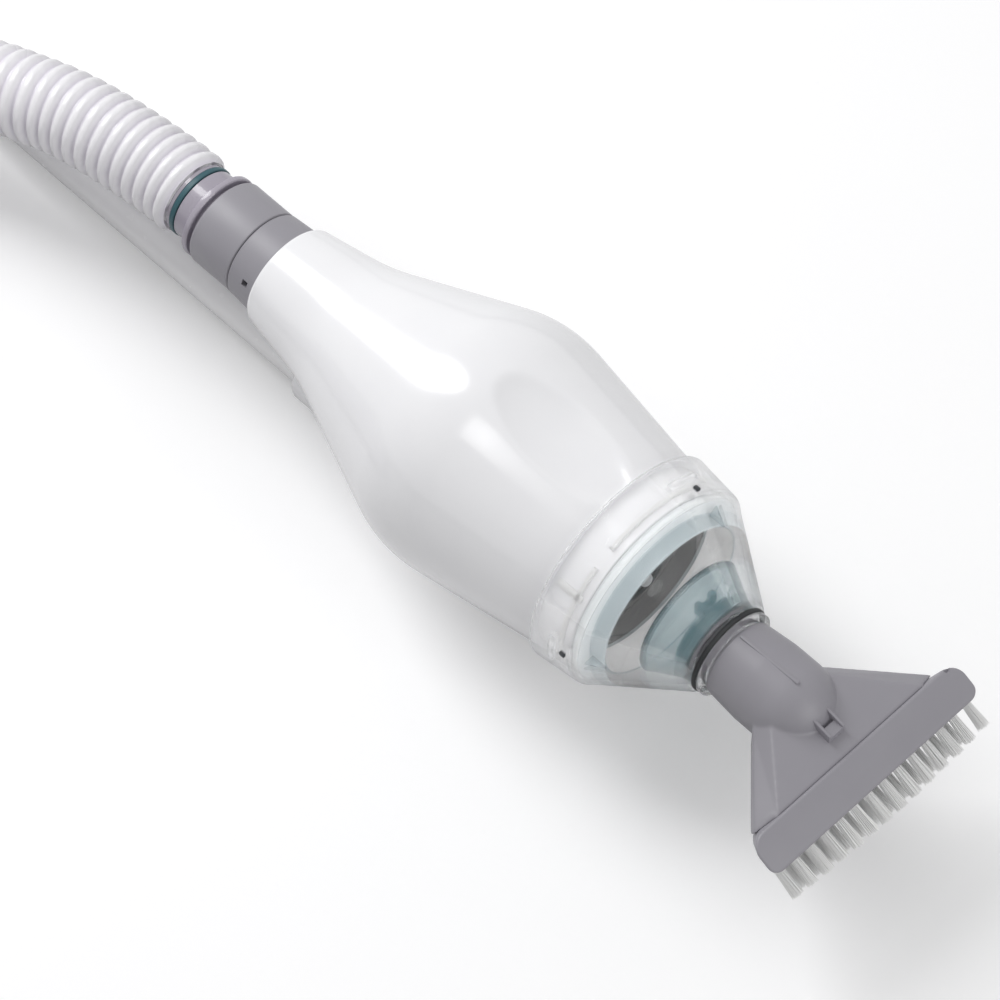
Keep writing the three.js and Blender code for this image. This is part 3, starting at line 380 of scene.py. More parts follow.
class Finish:
    """A material with one Principled shader. Constants are set on the shader's own sockets."""

    def __init__(self, name, **constants):
        self.material = bpy.data.materials.new(name)
        self.material.use_nodes = True
        self.tree = self.material.node_tree
        self.shader = self.tree.nodes["Principled BSDF"]
        for socket, value in constants.items():
            self.shader.inputs[socket.replace("_", " ")].default_value = value

    def node(self, kind, settings, inputs, output=0):
        """A node of this kind: its settings first, then the values or wires of its sockets."""
        made = self.tree.nodes.new(kind)
        for name, value in settings.items():
            if name == "stops":
                for stop, (position, colour) in zip(made.color_ramp.elements, value):
                    stop.position = position
                    stop.color = colour
            else:
                setattr(made, name, value)
        for socket, value in inputs.items():
            if isinstance(value, Wire):
                self.tree.links.new(value.socket, made.inputs[socket])
            else:
                made.inputs[socket].default_value = value
        return Wire(self, made.outputs[output])

    def feed(self, socket, wire):
        """Links a wire to a socket of the shader."""
        self.tree.links.new(wire.socket, self.shader.inputs[socket])

    def place(self):
        """The place of a point in the object, in metres."""
        return self.node("ShaderNodeTexCoord", {}, {}, "Object")

    def noise(self, scale, detail=2, roughness=0.5):
        """Cloudy variation from 0 to 1, this many spots to a metre."""
        inputs = {"Vector": self.place(), "Scale": scale, "Detail": detail, "Roughness": roughness}
        return self.node("ShaderNodeTexNoise", {}, inputs, "Fac")

    def mix(self, amount, first, second):
        """From the first colour to the second as the amount goes from 0 to 1."""
        inputs = {0: amount, 6: first, 7: second}
        return self.node("ShaderNodeMix", {"data_type": "RGBA"}, inputs, 2)

    def facing(self):
        """0 where a surface is faced, 1 at its edge."""
        return self.node("ShaderNodeLayerWeight", {}, {"Blend": 0.5}, "Facing")

    def bump(self, height, strength, distance):
        """Relief on the whole finish: the distance is its depth in metres."""
        inputs = {"Strength": strength, "Distance": distance, "Height": height}
        self.feed("Normal", self.node("ShaderNodeBump", {}, inputs, "Normal"))


def colour(red, green, blue):
    """A colour written in everyday 0 to 255 numbers, as the linear light that a shader takes."""
    linear = [(value / 255) ** 2.2 for value in (red, green, blue)]
    return (*linear, 1)


WHITE, BLACK = colour(255, 255, 255), colour(0, 0, 0)


# %% [markdown]
# Moulded plastic is never one flat colour. Its gloss wanders a little where the mould was polished,
# and a matt part carries the fine spark texture of the mould. Both are far too small to model, so
# they are noise in the roughness and in the bump.

# %% Moulded plastics


def moulded(name, tone, shade, gloss, spread, grain=0.0, coat=0.0, glow=0.0):
    """A plastic between two tones, its roughness between gloss and gloss + spread.

    The glow is painted light: it stands for the light that comes through a thin wall.
    """
    tone, shade = colour(*tone), colour(*shade)
    finish = Finish(name, Coat_Roughness=0.1)
    finish.feed("Base Color", finish.mix(finish.noise(35, 3), tone, shade))
    finish.feed("Roughness", finish.noise(120, 3) * spread + gloss)
    if grain:
        finish.bump(finish.noise(2600, 2), grain, 0.0002)
    else:
        finish.bump(finish.noise(140, 1), 0.05, 0.0006)
    finish.shader.inputs["Coat Weight"].default_value = coat
    finish.shader.inputs["Emission Color"].default_value = tone
    finish.shader.inputs["Emission Strength"].default_value = glow
    return finish.material


WHITE_SHELL = moulded("white_shell", (244, 244, 246), (238, 238, 241), 0.14, 0.07, coat=0.4)
GREY = moulded("grey_plastic", (149, 147, 153), (142, 140, 147), 0.38, 0.1, grain=0.22)
PALE = moulded("pale_plastic", (244, 247, 248), (235, 240, 242), 0.3, 0.1)
SNOUT = moulded("snout_plastic", (198, 209, 213), (186, 199, 204), 0.35, 0.1)
# Painted light: a whiter tone with a glow, for the inside of the filter frame's snout.
GLOWING_BORE = moulded("bore_painted_glow", (252, 252, 252), (246, 247, 248), 0.35, 0.1, glow=0.28)
# Painted shade: pale plastic coloured dark grey where it lies deep inside the filter.
INNER_SHADE = moulded("pale_plastic_painted_shade", (84, 82, 82), (70, 69, 70), 0.4, 0.1)
DARK = moulded("dark_plastic", (52, 56, 60), (44, 47, 51), 0.42, 0.12, grain=0.2)
FLAP = moulded("flap_plastic", (20, 44, 54), (14, 34, 44), 0.3, 0.1)
PAINT = moulded("pole_paint", (251, 251, 252), (246, 246, 248), 0.22, 0.08, coat=0.3)
RUBBER = moulded("black_rubber", (34, 36, 38), (26, 28, 30), 0.55, 0.15, grain=0.3)
SEAL = moulded("teal_seal", (52, 92, 100), (40, 78, 88), 0.35, 0.12)
GRIP = moulded("grip_rubber", (78, 80, 85), (68, 70, 75), 0.62, 0.15, grain=0.6)
print("moulded plastics ready")

# %% [markdown]
# The clear front is a real wall of acrylic, with an outside and an inside surface. Light is bent at
# each of them, and that is what draws the dense lines along its edges, so its finish transmits
# light like glass. The cup, the cuff and the hose are milky. For them a mix of see-through and
# solid is enough: Layer Weight finds the edge of a wall, and the Alpha follows it.

# %% Clear and milky plastics
# Painted light: a faint white glow that lifts the dark behind the clear walls.
CLEAR_GLOW = 0.03


def clear_finish():
    """Acrylic: it transmits light where it is faced, greys towards its edges, and has a faint
    painted glow.
    """
    finish = Finish("clear_plastic", IOR=1.46)
    facing = finish.facing()
    finish.feed("Base Color", finish.mix(facing ** 3, WHITE, colour(186, 192, 197)))
    finish.feed("Alpha", facing ** 2 * 0.7 + 0.18)
    finish.feed("Roughness", finish.noise(60, 2) * 0.05 + 0.02)
    finish.bump(finish.noise(55, 1), 0.08, 0.001)
    finish.shader.inputs["Transmission Weight"].default_value = 1.0
    # Painted light: the faint glow.
    finish.shader.inputs["Emission Color"].default_value = WHITE
    finish.shader.inputs["Emission Strength"].default_value = CLEAR_GLOW
    return finish.material


def see_through(name, tone, edge_tone, face_alpha, edge_alpha, gloss):
    """A thin wall: clear where it is faced, denser towards its edges."""
    finish = Finish(name, IOR=1.5, Coat_Roughness=0.03, Coat_Weight=0.6)
    edge = finish.facing() ** 2.2
    finish.feed("Base Color", finish.mix(edge, colour(*tone), colour(*edge_tone)))
    finish.feed("Alpha", edge * (edge_alpha - face_alpha) + face_alpha)
    finish.feed("Roughness", finish.noise(90, 2) * 0.04 + gloss)
    return finish.material


CLEAR = clear_finish()
TEAL = see_through("teal_plastic", (112, 158, 168), (28, 62, 72), 0.3, 1.0, 0.12)
# Painted shade: the rim of the cup is darker, for the dark line along its edge.
CUP_RIM_SHADE = see_through("cup_rim_painted_shade", (70, 96, 104), (26, 50, 58), 0.75, 1.0, 0.12)
CUFF = see_through("cuff_plastic", (170, 164, 176), (142, 136, 153), 0.9, 0.97, 0.25)
print("clear and milky plastics ready")

# %% [markdown]
# The wall of the hose is blown thin over its ribs and stays thicker in the valleys, so the ribs are
# a little see-through. The valleys are also painted darker, as painted shade between the ribs. The
# mesh carries the rib height as an attribute called rib, 1 on a crest and 0 in a valley, because no
# pattern in space could follow a hose round its coil.

# %% Hose


def hose_finish():
    """Pale and a little see-through on the crests, solid and painted darker in the valleys as shade.
    """
    finish = Finish("hose_plastic", IOR=1.45, Coat_Roughness=0.1, Coat_Weight=0.3)
    rib = finish.node("ShaderNodeAttribute", {"attribute_name": "rib"}, {}, "Fac")
    cloud = finish.noise(22, 3)
    # Painted shade: the valleys are darker than the crests.
    valley = finish.mix(cloud, colour(233, 229, 238), colour(225, 221, 231))
    finish.feed("Base Color", finish.mix(rib ** 0.8, valley, colour(252, 251, 254)))
    finish.feed("Alpha", 0.97 - rib * 0.17)
    finish.feed("Roughness", cloud * 0.08 + 0.24)
    return finish.material


HOSE = hose_finish()
print("hose finish ready")

# %% [markdown]
# Brushes are nylon filaments, all but white, and the tuft itself darkens near the root, where less
# light gets in. The bag is a knitted mesh: two crossed waves give its threads, and its alpha opens
# the holes. Steel is a metal with fine scratches, and the strap is rough fuzz.

# %% Bristle, mesh, steel and strap


def bristle_finish():
    """Nylon, white with fine streaks."""
    finish = Finish("bristle", Roughness=0.42)
    streaks = finish.noise(900, 2)
    finish.feed("Base Color", finish.mix(streaks, colour(254, 254, 253), colour(240, 240, 240)))
    return finish.material


def mesh_finish():
    """Two crossed waves of thread, with holes between them."""
    finish = Finish("filter_mesh", Roughness=0.8)
    threads = [
        finish.node(
            "ShaderNodeTexWave",
            {"wave_type": "BANDS", "bands_direction": direction},
            {"Vector": finish.place(), "Scale": 190.0},
            "Fac",
        )
        for direction in ("X", "DIAGONAL")
    ]
    knit = finish.node("ShaderNodeMath", {"operation": "MAXIMUM"}, {0: threads[0], 1: threads[1]})
    finish.feed("Base Color", finish.mix(knit, colour(78, 82, 85), colour(104, 110, 113)))
    finish.feed("Alpha", knit * 0.25 + 0.75)
    finish.bump(knit, 0.5, 0.0006)
    return finish.material


def steel_finish():
    """Plain zinc-plated steel, finely scratched."""
    finish = Finish("steel", Metallic=1.0)
    cloud = finish.noise(300, 2)
    finish.feed("Base Color", finish.mix(cloud, colour(196, 198, 202), colour(176, 178, 182)))
    finish.feed("Roughness", finish.noise(700, 2) * 0.12 + 0.22)
    return finish.material


def strap_finish():
    """Dark fuzz of hooks and loops."""
    finish = Finish("hook_and_loop", Roughness=0.9)
    fuzz = finish.noise(1800, 4, 0.7)
    finish.feed("Base Color", finish.mix(fuzz, colour(52, 54, 58), colour(86, 88, 92)))
    finish.bump(fuzz, 0.9, 0.0008)
    return finish.material


BRISTLE, MESH, STEEL, STRAP = bristle_finish(), mesh_finish(), steel_finish(), strap_finish()
print("bristle, mesh, steel and strap ready")

# %% [markdown]
# Each finished piece is dressed in one step: its finish, the body it moves with, and the
# construction solids that it stands for.

# %% Dressing a piece


def dress(obj, body, slot, finish, *nodes):
    """Finish and body of a piece, and the construction solids that it replaces. The slot is not
    used.
    """
    obj.data.materials.clear()
    obj.data.materials.append(finish)
    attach(obj, body)
    if nodes:
        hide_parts(*nodes)
    obj.name = obj.name.split(".")[0] + "_dressed"
    print(f"{obj.name}: {len(obj.data.polygons)} faces, rides on {body}")
    return obj


def paint_faces(obj, finish, test):
    """Another finish for the faces whose (x, radius) on the cleaner pass the test."""
    obj.data.materials.append(finish)
    last = len(obj.data.materials) - 1
    for face in obj.data.polygons:
        spot = (face.center - at(0)) / MM
        if test(spot.x, math.hypot(spot.y, spot.z)):
            face.material_index = last


# %% [markdown]
# ## The hose
# A real hose like this is blown into a ribbed mould that repeats every few millimetres. So one rib
# is turned, an Array repeats it for as long as the route is, and a Curve modifier lays the whole
# row along the route.

# %% Hose
RIB_PITCH = 8.2
RIB_VALLEY = 21.4
HOSE_SIDES, RIB_SHARP = 32, 80


def plain(x, y=0.0, z=0.0):
    """A point in metres from millimetres at the origin, for pieces that are moved afterwards."""
    return Vector((x, y, z)) * MM


def hose_rib():
    """One rib of the hose, with its height written on every corner."""
    crest = HOSE_RADIUS
    outline = [
        (0, RIB_VALLEY),
        (0.14 * RIB_PITCH, RIB_VALLEY),
        (0.36 * RIB_PITCH, crest - 0.25),
        (0.57 * RIB_PITCH, crest),
        (0.78 * RIB_PITCH, crest - 0.25),
        (RIB_PITCH, RIB_VALLEY),
    ]
    rib = turned("hose", outline, HOSE_SIDES, origin=plain, closed=False, sharp=RIB_SHARP)
    height = rib.data.attributes.new("rib", "FLOAT", "POINT")
    for vertex, value in zip(rib.data.vertices, height.data):
        radius = math.hypot(vertex.co.y, vertex.co.z) / MM
        value.value = (radius - RIB_VALLEY) / (crest - RIB_VALLEY)
    return rib


def route_curve(points):
    """A smooth curve through the points of the route."""
    bpy.ops.object.select_all(action="DESELECT")
    bpy.ops.curve.primitive_bezier_curve_add(location=(0, 0, 0))
    route = bpy.context.object
    route.data.twist_mode = "Z_UP"
    route.data.dimensions = "3D"
    spline = route.data.splines[0]
    spline.bezier_points.add(len(points) - len(spline.bezier_points))
    for knot, point in zip(spline.bezier_points, points):
        knot.co = point
        knot.handle_left_type = knot.handle_right_type = "AUTO"
    return route


hose = hose_rib()
route = route_curve(hose_points)
bake_modifier(
    hose, "ARRAY",
    fit_type="FIT_CURVE",
    curve=route,
    use_relative_offset=False,
    use_constant_offset=True,
    constant_offset_displace=(RIB_PITCH * MM, 0, 0),
    use_merge_vertices=True,
    merge_threshold=0.00002,
)
bake_modifier(hose, "CURVE", object=route, deform_axis="POS_X")
bpy.data.objects.remove(route)
finish_mesh(hose, RIB_SHARP)
dress(hose, "cleaner", "hose_plastic", HOSE, "hose_tube", "hose_coil")

# %% [markdown]
# ## The body
# The body is blow-moulded in one piece: neck, throat, crown and a straight spigot for the clear
# front. Its outline is turned with the inside wall. The rings are kept close together towards the
# front, because the oval dimple for the thumb will be pressed into them there.

# %% Body outline
BODY_LENGTH = 235
BODY_WALL = 2.6
SPIGOT_RADIUS, SPIGOT_END = 54.8, 257
NECK_BORE, NECK_STEP = 23, 18.6


def spread(outline, step):
    """The same outline with no stretch longer than the step."""
    points = [outline[0]]
    for (x0, r0), (x1, r1) in zip(outline, outline[1:]):
        count = max(1, math.ceil(math.hypot(x1 - x0, r1 - r0) / step))
        for i in range(1, count + 1):
            points.append((x0 + (x1 - x0) * i / count, r0 + (r1 - r0) * i / count))
    return points


def body_flank(grow=0.0):
    """The long outside of the body, from behind its rim to its shoulder."""
    return eased([
        (3, 29.8 + grow),
        (43.6, 36.6 + grow, 13.5),
        (137.4, 73.2 + grow, 21),
        (BODY_LENGTH, 58 + grow),
    ], 14)


def body_radius(x):
    """The outside radius of the body at this length."""
    flank = body_flank()
    for (x0, r0), (x1, r1) in zip(flank, flank[1:]):
        if x0 <= x <= x1:
            return r0 + (r1 - r0) * (x - x0) / (x1 - x0)
    return flank[-1][1]


def quarter(centre_x, centre_radius, size, start, steps=5):
    """Points of a quarter round, turning clockwise from the start angle in degrees."""
    points = []
    for step in range(steps + 1):
        angle = math.radians(start - 90 * step / steps)
        points.append((centre_x + size * math.cos(angle), centre_radius + size * math.sin(angle)))
    return points


# %% [markdown]
# The dimple is the shape that a slightly tilted ellipsoid leaves where it dips into the skin. Every
# corner of the mesh above that ellipsoid's underside is lowered onto it. Where the two surfaces
# meet, a soft minimum rounds the rim, as a real mould would.

# %% Body
DIMPLE_AT, DIMPLE_SIZE, DIMPLE_DEPTH, DIMPLE_RIM = 199, (56.4, 31.1, 17), 6.5, 1.2


def soft_lower(first, second, softness):
    """The lower of two heights, rounded where they cross."""
    gap = abs(first - second)
    rounding = max(softness - gap, 0) ** 2 / (4 * softness)
    return min(first, second) - rounding


def press_dimple(shell):
    """Lowers the corners over the dimple, outside and inside."""
    tilt = math.atan2(body_radius(DIMPLE_AT) - body_radius(DIMPLE_AT + DIMPLE_DEPTH), DIMPLE_DEPTH)
    lean = Euler((0, tilt, 0)).to_matrix()
    centre = Vector((DIMPLE_AT, 0, body_radius(DIMPLE_AT) + DIMPLE_SIZE[2] - DIMPLE_DEPTH))
    pressed = 0
    for vertex in shell.data.vertices:
        spot = (vertex.co - at(0)) / MM
        inner = math.hypot(spot.y, spot.z) < body_radius(spot.x) - BODY_WALL / 2
        grow = BODY_WALL if inner else 0
        across = lean.inverted() @ (spot - centre)
        a, b, c = (size + grow for size in DIMPLE_SIZE)
        reach = 1 - (across.x / a) ** 2 - (across.y / b) ** 2
        if spot.z < 0 or reach <= -0.2 or spot.x > BODY_LENGTH:
            continue
        floor_of_dimple = -c * math.sqrt(reach) if reach > 0 else -reach * c
        lowered = soft_lower(across.z, floor_of_dimple, DIMPLE_RIM)
        if across.z - lowered > 0.001:
            across.z = lowered
            vertex.co = (lean @ across + centre) * MM + at(0)
            pressed += 1
    print("dimple presses", pressed, "corners")


def make_body():
    """The shell: its outside to the spigot, then back along its inside."""
    outside = quarter(3, 26.8, 3, 180) + body_flank()[1:]
    shoulder = [(BODY_LENGTH, 57.5), (BODY_LENGTH, SPIGOT_RADIUS)]
    front = [
        (SPIGOT_END - 0.6, SPIGOT_RADIUS),
        (SPIGOT_END, SPIGOT_RADIUS - 0.6),
        (SPIGOT_END, SPIGOT_RADIUS - BODY_WALL),
    ]
    flank = [point for point in body_flank(-BODY_WALL) if NECK_STEP < point[0] < BODY_LENGTH - 8]
    inside = [
        (0, NECK_BORE),
        (16, NECK_BORE),
        (NECK_STEP, body_radius(16) - BODY_WALL),
        *flank,
        (227.2, 55.4),
        (232.4, SPIGOT_RADIUS - BODY_WALL),
    ]
    outline = spread(outside + shoulder + front, 1.7) + list(reversed(spread(inside, 3)))
    shell = turned("body_shell", outline, 256)
    press_dimple(shell)
    return shell


body_shell = dress(make_body(), "cleaner", "white_shell", WHITE_SHELL)

# %% [markdown]
# Three short tracks stand on the spigot, each with a rib beside it: the clear front turns onto
# them like the lid of a jar. A track is a part of a turned ring: the rest of the ring is deleted,
# and the open ends are filled.

# %% Bayonet tracks


def arc_only(ring, keep):
    """Deletes the parts of a ring whose angle in degrees isn't kept, and closes the cuts."""
    def left_out(spot):
        return not keep(math.degrees(math.atan2(spot.y, spot.z - axis_z)) % 360)

    edit(ring, "FACE")
    pick(ring, "faces", left_out)
    bpy.ops.mesh.delete(type="FACE")
    bpy.ops.mesh.select_mode(type="EDGE")
    bpy.ops.mesh.select_non_manifold()
    bpy.ops.mesh.edge_face_add()
    bpy.ops.mesh.select_all(action="SELECT")
    bpy.ops.mesh.normals_make_consistent(inside=False)
    bpy.ops.object.mode_set(mode="OBJECT")
    return ring


def within(angle, middle, half):
    """Whether an angle lies within half of the middle, all in degrees."""
    return abs((angle - middle + 180) % 360 - 180) < half


def arcs_of(name, start, end, inner, outer, middles, half, sides=180):
    """One ring split into separate arcs, one round each middle angle."""
    arcs = []
    for index, middle in enumerate(middles):
        ring = tube(f"{name}_{index}", start, end, inner, outer, soft=0.3, sides=sides)
        arcs.append(arc_only(ring, lambda angle, middle=middle: within(angle, middle, half)))
    return arcs


LUG_ANGLES = (30, 150, 270)
RIB_ANGLES = (66, 186, 306)
TRACK_ROOT, TRACK_TOP = SPIGOT_RADIUS - 0.5, SPIGOT_RADIUS + 1.2
tracks = arcs_of("track", 250, 252.4, TRACK_ROOT, TRACK_TOP, LUG_ANGLES, 54)
tracks += arcs_of("rib", 238, 254, TRACK_ROOT, TRACK_TOP, RIB_ANGLES, 1.6)
body_shell = join_pieces("body_shell_dressed", body_shell, *tracks)
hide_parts("body_shell")
print("body has", len(body_shell.data.polygons), "faces")

# %% [markdown]
# ## Outlet, swivel and cuff
# Behind the body sit two grey rings and the pale end of the hose. The front ring is pressed into
# the neck, the rear one turns on it, and the cuff with its raised lip is held in the rear ring. A
# small square hole in the front ring shows the catch that locks it.

# %% Outlet collar and swivel collar


def cut_away(obj, *tools):
    """Takes the tool shapes out of the object and removes them."""
    for tool in tools:
        bake_modifier(obj, "BOOLEAN", operation="DIFFERENCE", object=tool, solver="EXACT")
        bpy.data.objects.remove(tool)
    weld(obj)
    return obj


def block(name, low, high, origin=at):
    """A box from its low corner to its high corner, in millimetres."""
    low_corner, high_corner = origin(*low), origin(*high)
    bpy.ops.object.select_all(action="DESELECT")
    bpy.ops.mesh.primitive_cube_add(size=1, location=(low_corner + high_corner) / 2)
    cube = bpy.context.object
    cube.name = name
    cube.scale = high_corner - low_corner
    place(cube)
    return cube


def rod(name, radius, start, end, sides=32):
    """A round bar between two points in metres."""
    span = end - start
    bpy.ops.object.select_all(action="DESELECT")
    bpy.ops.mesh.primitive_cylinder_add(
        vertices=sides,
        radius=radius * MM,
        depth=span.length,
        location=(start + end) / 2,
        rotation=span.to_track_quat("Z", "Y").to_euler(),
    )
    bar = bpy.context.object
    bar.name = name
    place(bar)
    return bar


def turn_about(centre, obj, degrees):
    """Turns a finished shape about the line along X through the centre."""
    turn = Matrix.Rotation(math.radians(degrees), 4, "X")
    return moved(obj, Matrix.Translation(centre) @ turn @ Matrix.Translation(-centre))


outlet_collar = turned("outlet_collar", [
    (14, 17),
    (14, 22.2),
    (13.5, 22.7),
    (-0.3, 22.7),
    (-0.3, 25.9),
    (-0.8, 26.4),
    (-17.5, 25.15),
    (-18.2, 24.5),
    (-18.2, 20.2),
    (-32.1, 20.2),
    (-32.1, 18.9),
    (-35.7, 18.9),
    (-35.7, 20.2),
    (-40.4, 20.2),
    (-40.4, 21.3),
    (-41.4, 21.3),
    (-42.4, 20.3),
    (-42.4, 17),
], 160)
catch_window = block("window", (-8, -1.8, 22), (-4.2, 1.8, 30))
WINDOW_ANGLE = 66
cut_away(outlet_collar, turn_about(at(0), catch_window, WINDOW_ANGLE))
dress(finish_mesh(outlet_collar), "cleaner", "grey_plastic", GREY, "outlet_collar")

swivel_collar = turned("swivel_collar", [
    (-18.7, 20.7),
    (-18.7, 24.3),
    (-19.3, 24.9),
    (-45.4, 24.9),
    (-46.3, 24.65),
    (-47.0, 24.0),
    (-47.3, 23.0),
    (-47.3, 19),
    (-44.1, 19),
    (-44.1, 17),
    (-42.9, 17),
    (-42.9, 21.8),
    (-39.9, 21.8),
    (-39.9, 20.7),
], 160)
dress(swivel_collar, "swivel", "grey_plastic", GREY, "swivel_collar")

# %% [markdown]
# The cuff is the milky end of the hose. Its raised lip shows behind the rear ring, and a teal seal
# sits in a groove just before the first rib of the hose. Both are turned from their outlines, and
# the cuff is a little see-through at its faces.

# %% Cuff and its seal
hose_cuff = turned("hose_cuff", [
    (-44.5, 16.4),
    (-44.5, 18.7),
    (-47.6, 18.7),
    (-47.6, 20.3),
    (-49.8, 20.3),
    (-49.8, 23.7),
    (-50.3, 24.3),
    (-50.9, 24.4),
    (-52.3, 24.4),
    (-52.9, 24.3),
    (-53.4, 23.7),
    (-53.4, 20.3),
    (-62.7, 20.3),
    (-62.7, 19.0),
    (-66.6, 19.0),
    (-66.6, 20.3),
    (-68.5, 20.3),
    (-69.0, 19.8),
    (-69.0, 16.4),
], 160)
dress(hose_cuff, "swivel", "hose_plastic", CUFF, "hose_cuff")
cuff_seal = turned("cuff_seal", [
    (-63.3, 19.3),
    (-63.3, 20.5),
    (-63.8, 20.9),
    (-65.8, 20.9),
    (-66.3, 20.5),
    (-66.3, 19.3),
])
dress(cuff_seal, "swivel", "black_rubber", SEAL, "cuff_seal")

# %% [markdown]
# ## Filter
# Behind the clear front lies the filter: a frame with a short snout, a soft gasket, and a mesh bag
# that a cage keeps open. A stem with a round knob runs back to the cage, so that the whole filter
# can be pulled out with two fingers. One turned ring makes the frame, and its parts are painted
# apart: white with a painted glow inside the snout, blue-grey round its outside and in a band
# behind it, and a dark painted shade down the bore, where the light of the mouth no longer falls.

# %% Filter frame and gasket
FRAME_BORE, SNOUT_RADIUS = 44.5, 46
SLEEVE_START, BAND_START, BAND_END = 241.8, 251.4, 253
FRAME_FRONT, SNOUT_END = 261.6, 270.6
filter_frame = turned("filter_frame", [
    (SLEEVE_START, FRAME_BORE),
    (BAND_START, FRAME_BORE),
    (BAND_END, FRAME_BORE),
    (SNOUT_END - 0.4, FRAME_BORE),
    (SNOUT_END, FRAME_BORE + 0.4),
    (SNOUT_END, SNOUT_RADIUS - 0.4),
    (SNOUT_END - 0.4, SNOUT_RADIUS),
    (FRAME_FRONT + 0.6, SNOUT_RADIUS),
    (FRAME_FRONT, SNOUT_RADIUS + 0.6),
    (FRAME_FRONT, 54.5),
    (260.9, 55.2),
    (258.8, 55.2),
    (258.8, 51.9),
    (253.5, 51.9),
    (253.5, 47.5),
    (SLEEVE_START, 47.5),
], 192)
dress(filter_frame, "filter", "pale_plastic", PALE, "filter_frame")
IN_BORE = FRAME_BORE + 0.1
paint_faces(filter_frame, SNOUT, lambda x, radius: x > FRAME_FRONT + 0.1 and radius > IN_BORE)
paint_faces(filter_frame, SNOUT, lambda x, radius: BAND_START < x < BAND_END and radius < IN_BORE)
# Painted shade: the bore behind the band is dark grey.
paint_faces(filter_frame, INNER_SHADE, lambda x, radius: (
    SLEEVE_START + 0.1 < x < BAND_START and radius < IN_BORE
))
# Painted light: the bore in front of the band is white and glows.
paint_faces(filter_frame, GLOWING_BORE, lambda x, radius: x > BAND_END and radius < IN_BORE)

filter_gasket = tube("filter_gasket", 257.3, 258.5, 52.5, 54.5, sides=128)
dress(filter_gasket, "filter", "pale_plastic", PALE, "filter_gasket")

# %% [markdown]
# The bag is sewn from two long panels and closed round the frame's sleeve by a hem. Between the
# ribs of the cage the cloth is drawn in a little, and it creases lengthways, more so towards the
# tail.

# %% Filter bag
BAG_TAIL, BAG_MOUTH = 75.2, 253.2
CAGE_RIBS = 6
BAG_SIDES = 144


def make_bag():
    """The cloth tube, drawn in between the ribs and creased, with its hem."""
    outside = eased([(BAG_MOUTH, 49), (238, 49), (BAG_TAIL, 41, 14), (BAG_TAIL, 8)], 8)
    wall = 0.8
    inside = [(max(x, BAG_TAIL + wall), radius - wall) for x, radius in outside]
    outline = spread(outside, 4) + list(reversed(spread(inside, 4)))
    bag = turned("filter_bag", outline, BAG_SIDES, sharp=70)
    random.seed(7)
    creases = [
        (random.uniform(0, math.tau), random.randint(7, 19), random.uniform(0.15, 0.4))
        for _ in range(4)
    ]
    for vertex in bag.data.vertices:
        spot = vertex.co - at(0)
        angle = math.atan2(spot.y, spot.z)
        x = spot.x / MM
        slack = ease(x, BAG_TAIL, BAG_TAIL + 50) * (1 - ease(x, 215, 240))
        drawn = 1.1 * (0.5 - 0.5 * math.cos(CAGE_RIBS * angle))
        for turn, count, size in creases:
            drawn += size * math.sin(count * angle + turn + x / 40)
        radius = math.hypot(spot.y, spot.z) / MM
        factor = 1 - slack * max(drawn, 0) / radius
        vertex.co = Vector((vertex.co.x, spot.y * factor, axis_z + spot.z * factor))
    hem = turned("hem", [
        (248, 48.9),
        (248, 49.6),
        (249, 50.1),
        (BAG_MOUTH - 1, 50.1),
        (BAG_MOUTH, 49.6),
        (BAG_MOUTH, 48.9),
    ], BAG_SIDES)
    return join_pieces("filter_bag", bag, hem)


dress(make_bag(), "filter", "filter_mesh", MESH, "filter_bag")

# %% [markdown]
# The cage is light: six ribs lean from a hub plate at the tail to a hoop at the mouth. One rib is
# made from a block, and the others are copies of it, each turned a sixth further.

# %% Filter cage and pull stem


def copies_about_axis(obj, count, first=0.0):
    """Copies of a piece, each with its own mesh, spaced evenly round the axis."""
    angles = [first + 360 * index / count for index in range(count)]
    pieces = [turn_about(at(0), twin_of(obj), angle) for angle in angles]
    bpy.data.objects.remove(obj)
    return pieces


def rounded(obj, width, segments=3, angle=30):
    """Rounds the edges that turn by more than the angle."""
    bake_modifier(
        obj, "BEVEL",
        width=width * MM,
        segments=segments,
        limit_method="ANGLE",
        angle_limit=math.radians(angle),
    )
    return obj


CAGE_START, CAGE_END, CAGE_TAIL, CAGE_MOUTH = 76.8, 241.5, 25.7, 47.2
CAGE_MIDDLE = (CAGE_START + CAGE_END) / 2


def cage_rib():
    """A straight rib that leans outwards from the tail to the mouth."""
    rib = block("cage_rib", (CAGE_START + 1, -1.3, CAGE_TAIL - 2.6), (CAGE_END - 1, 1.3, CAGE_TAIL))
    lean = CAGE_MOUTH - CAGE_TAIL - 1.3
    shift_corners(rib, lambda spot: spot.x > at(CAGE_MIDDLE).x, z=lean)
    return rounded(rib, 0.5, 2)


hub_plate = turned("filter_cage", [
    (CAGE_START, 2.4),
    (CAGE_START, CAGE_TAIL - 0.8),
    (CAGE_START + 0.8, CAGE_TAIL),
    (CAGE_START + 1.8, CAGE_TAIL),
    (CAGE_START + 2.6, CAGE_TAIL - 0.8),
    (CAGE_START + 2.6, 8.8),
    (CAGE_START + 3.4, 8),
    (CAGE_START + 6, 7.6),
    (CAGE_START + 6, 2.4),
], 96)
drain = rod("drain", 6.4, at(CAGE_START - 5, 0, 16.8), at(CAGE_START + 9, 0, 16.8))
cut_away(hub_plate, *copies_about_axis(drain, CAGE_RIBS, 30))
mouth_hoop = tube("hoop", CAGE_END - 2.6, CAGE_END, 43.4, CAGE_MOUTH, soft=0.6, sides=128)
middle_hoop = tube("hoop", CAGE_MIDDLE - 1.3, CAGE_MIDDLE + 1.3, 32.8, 35.6, soft=0.6, sides=128)
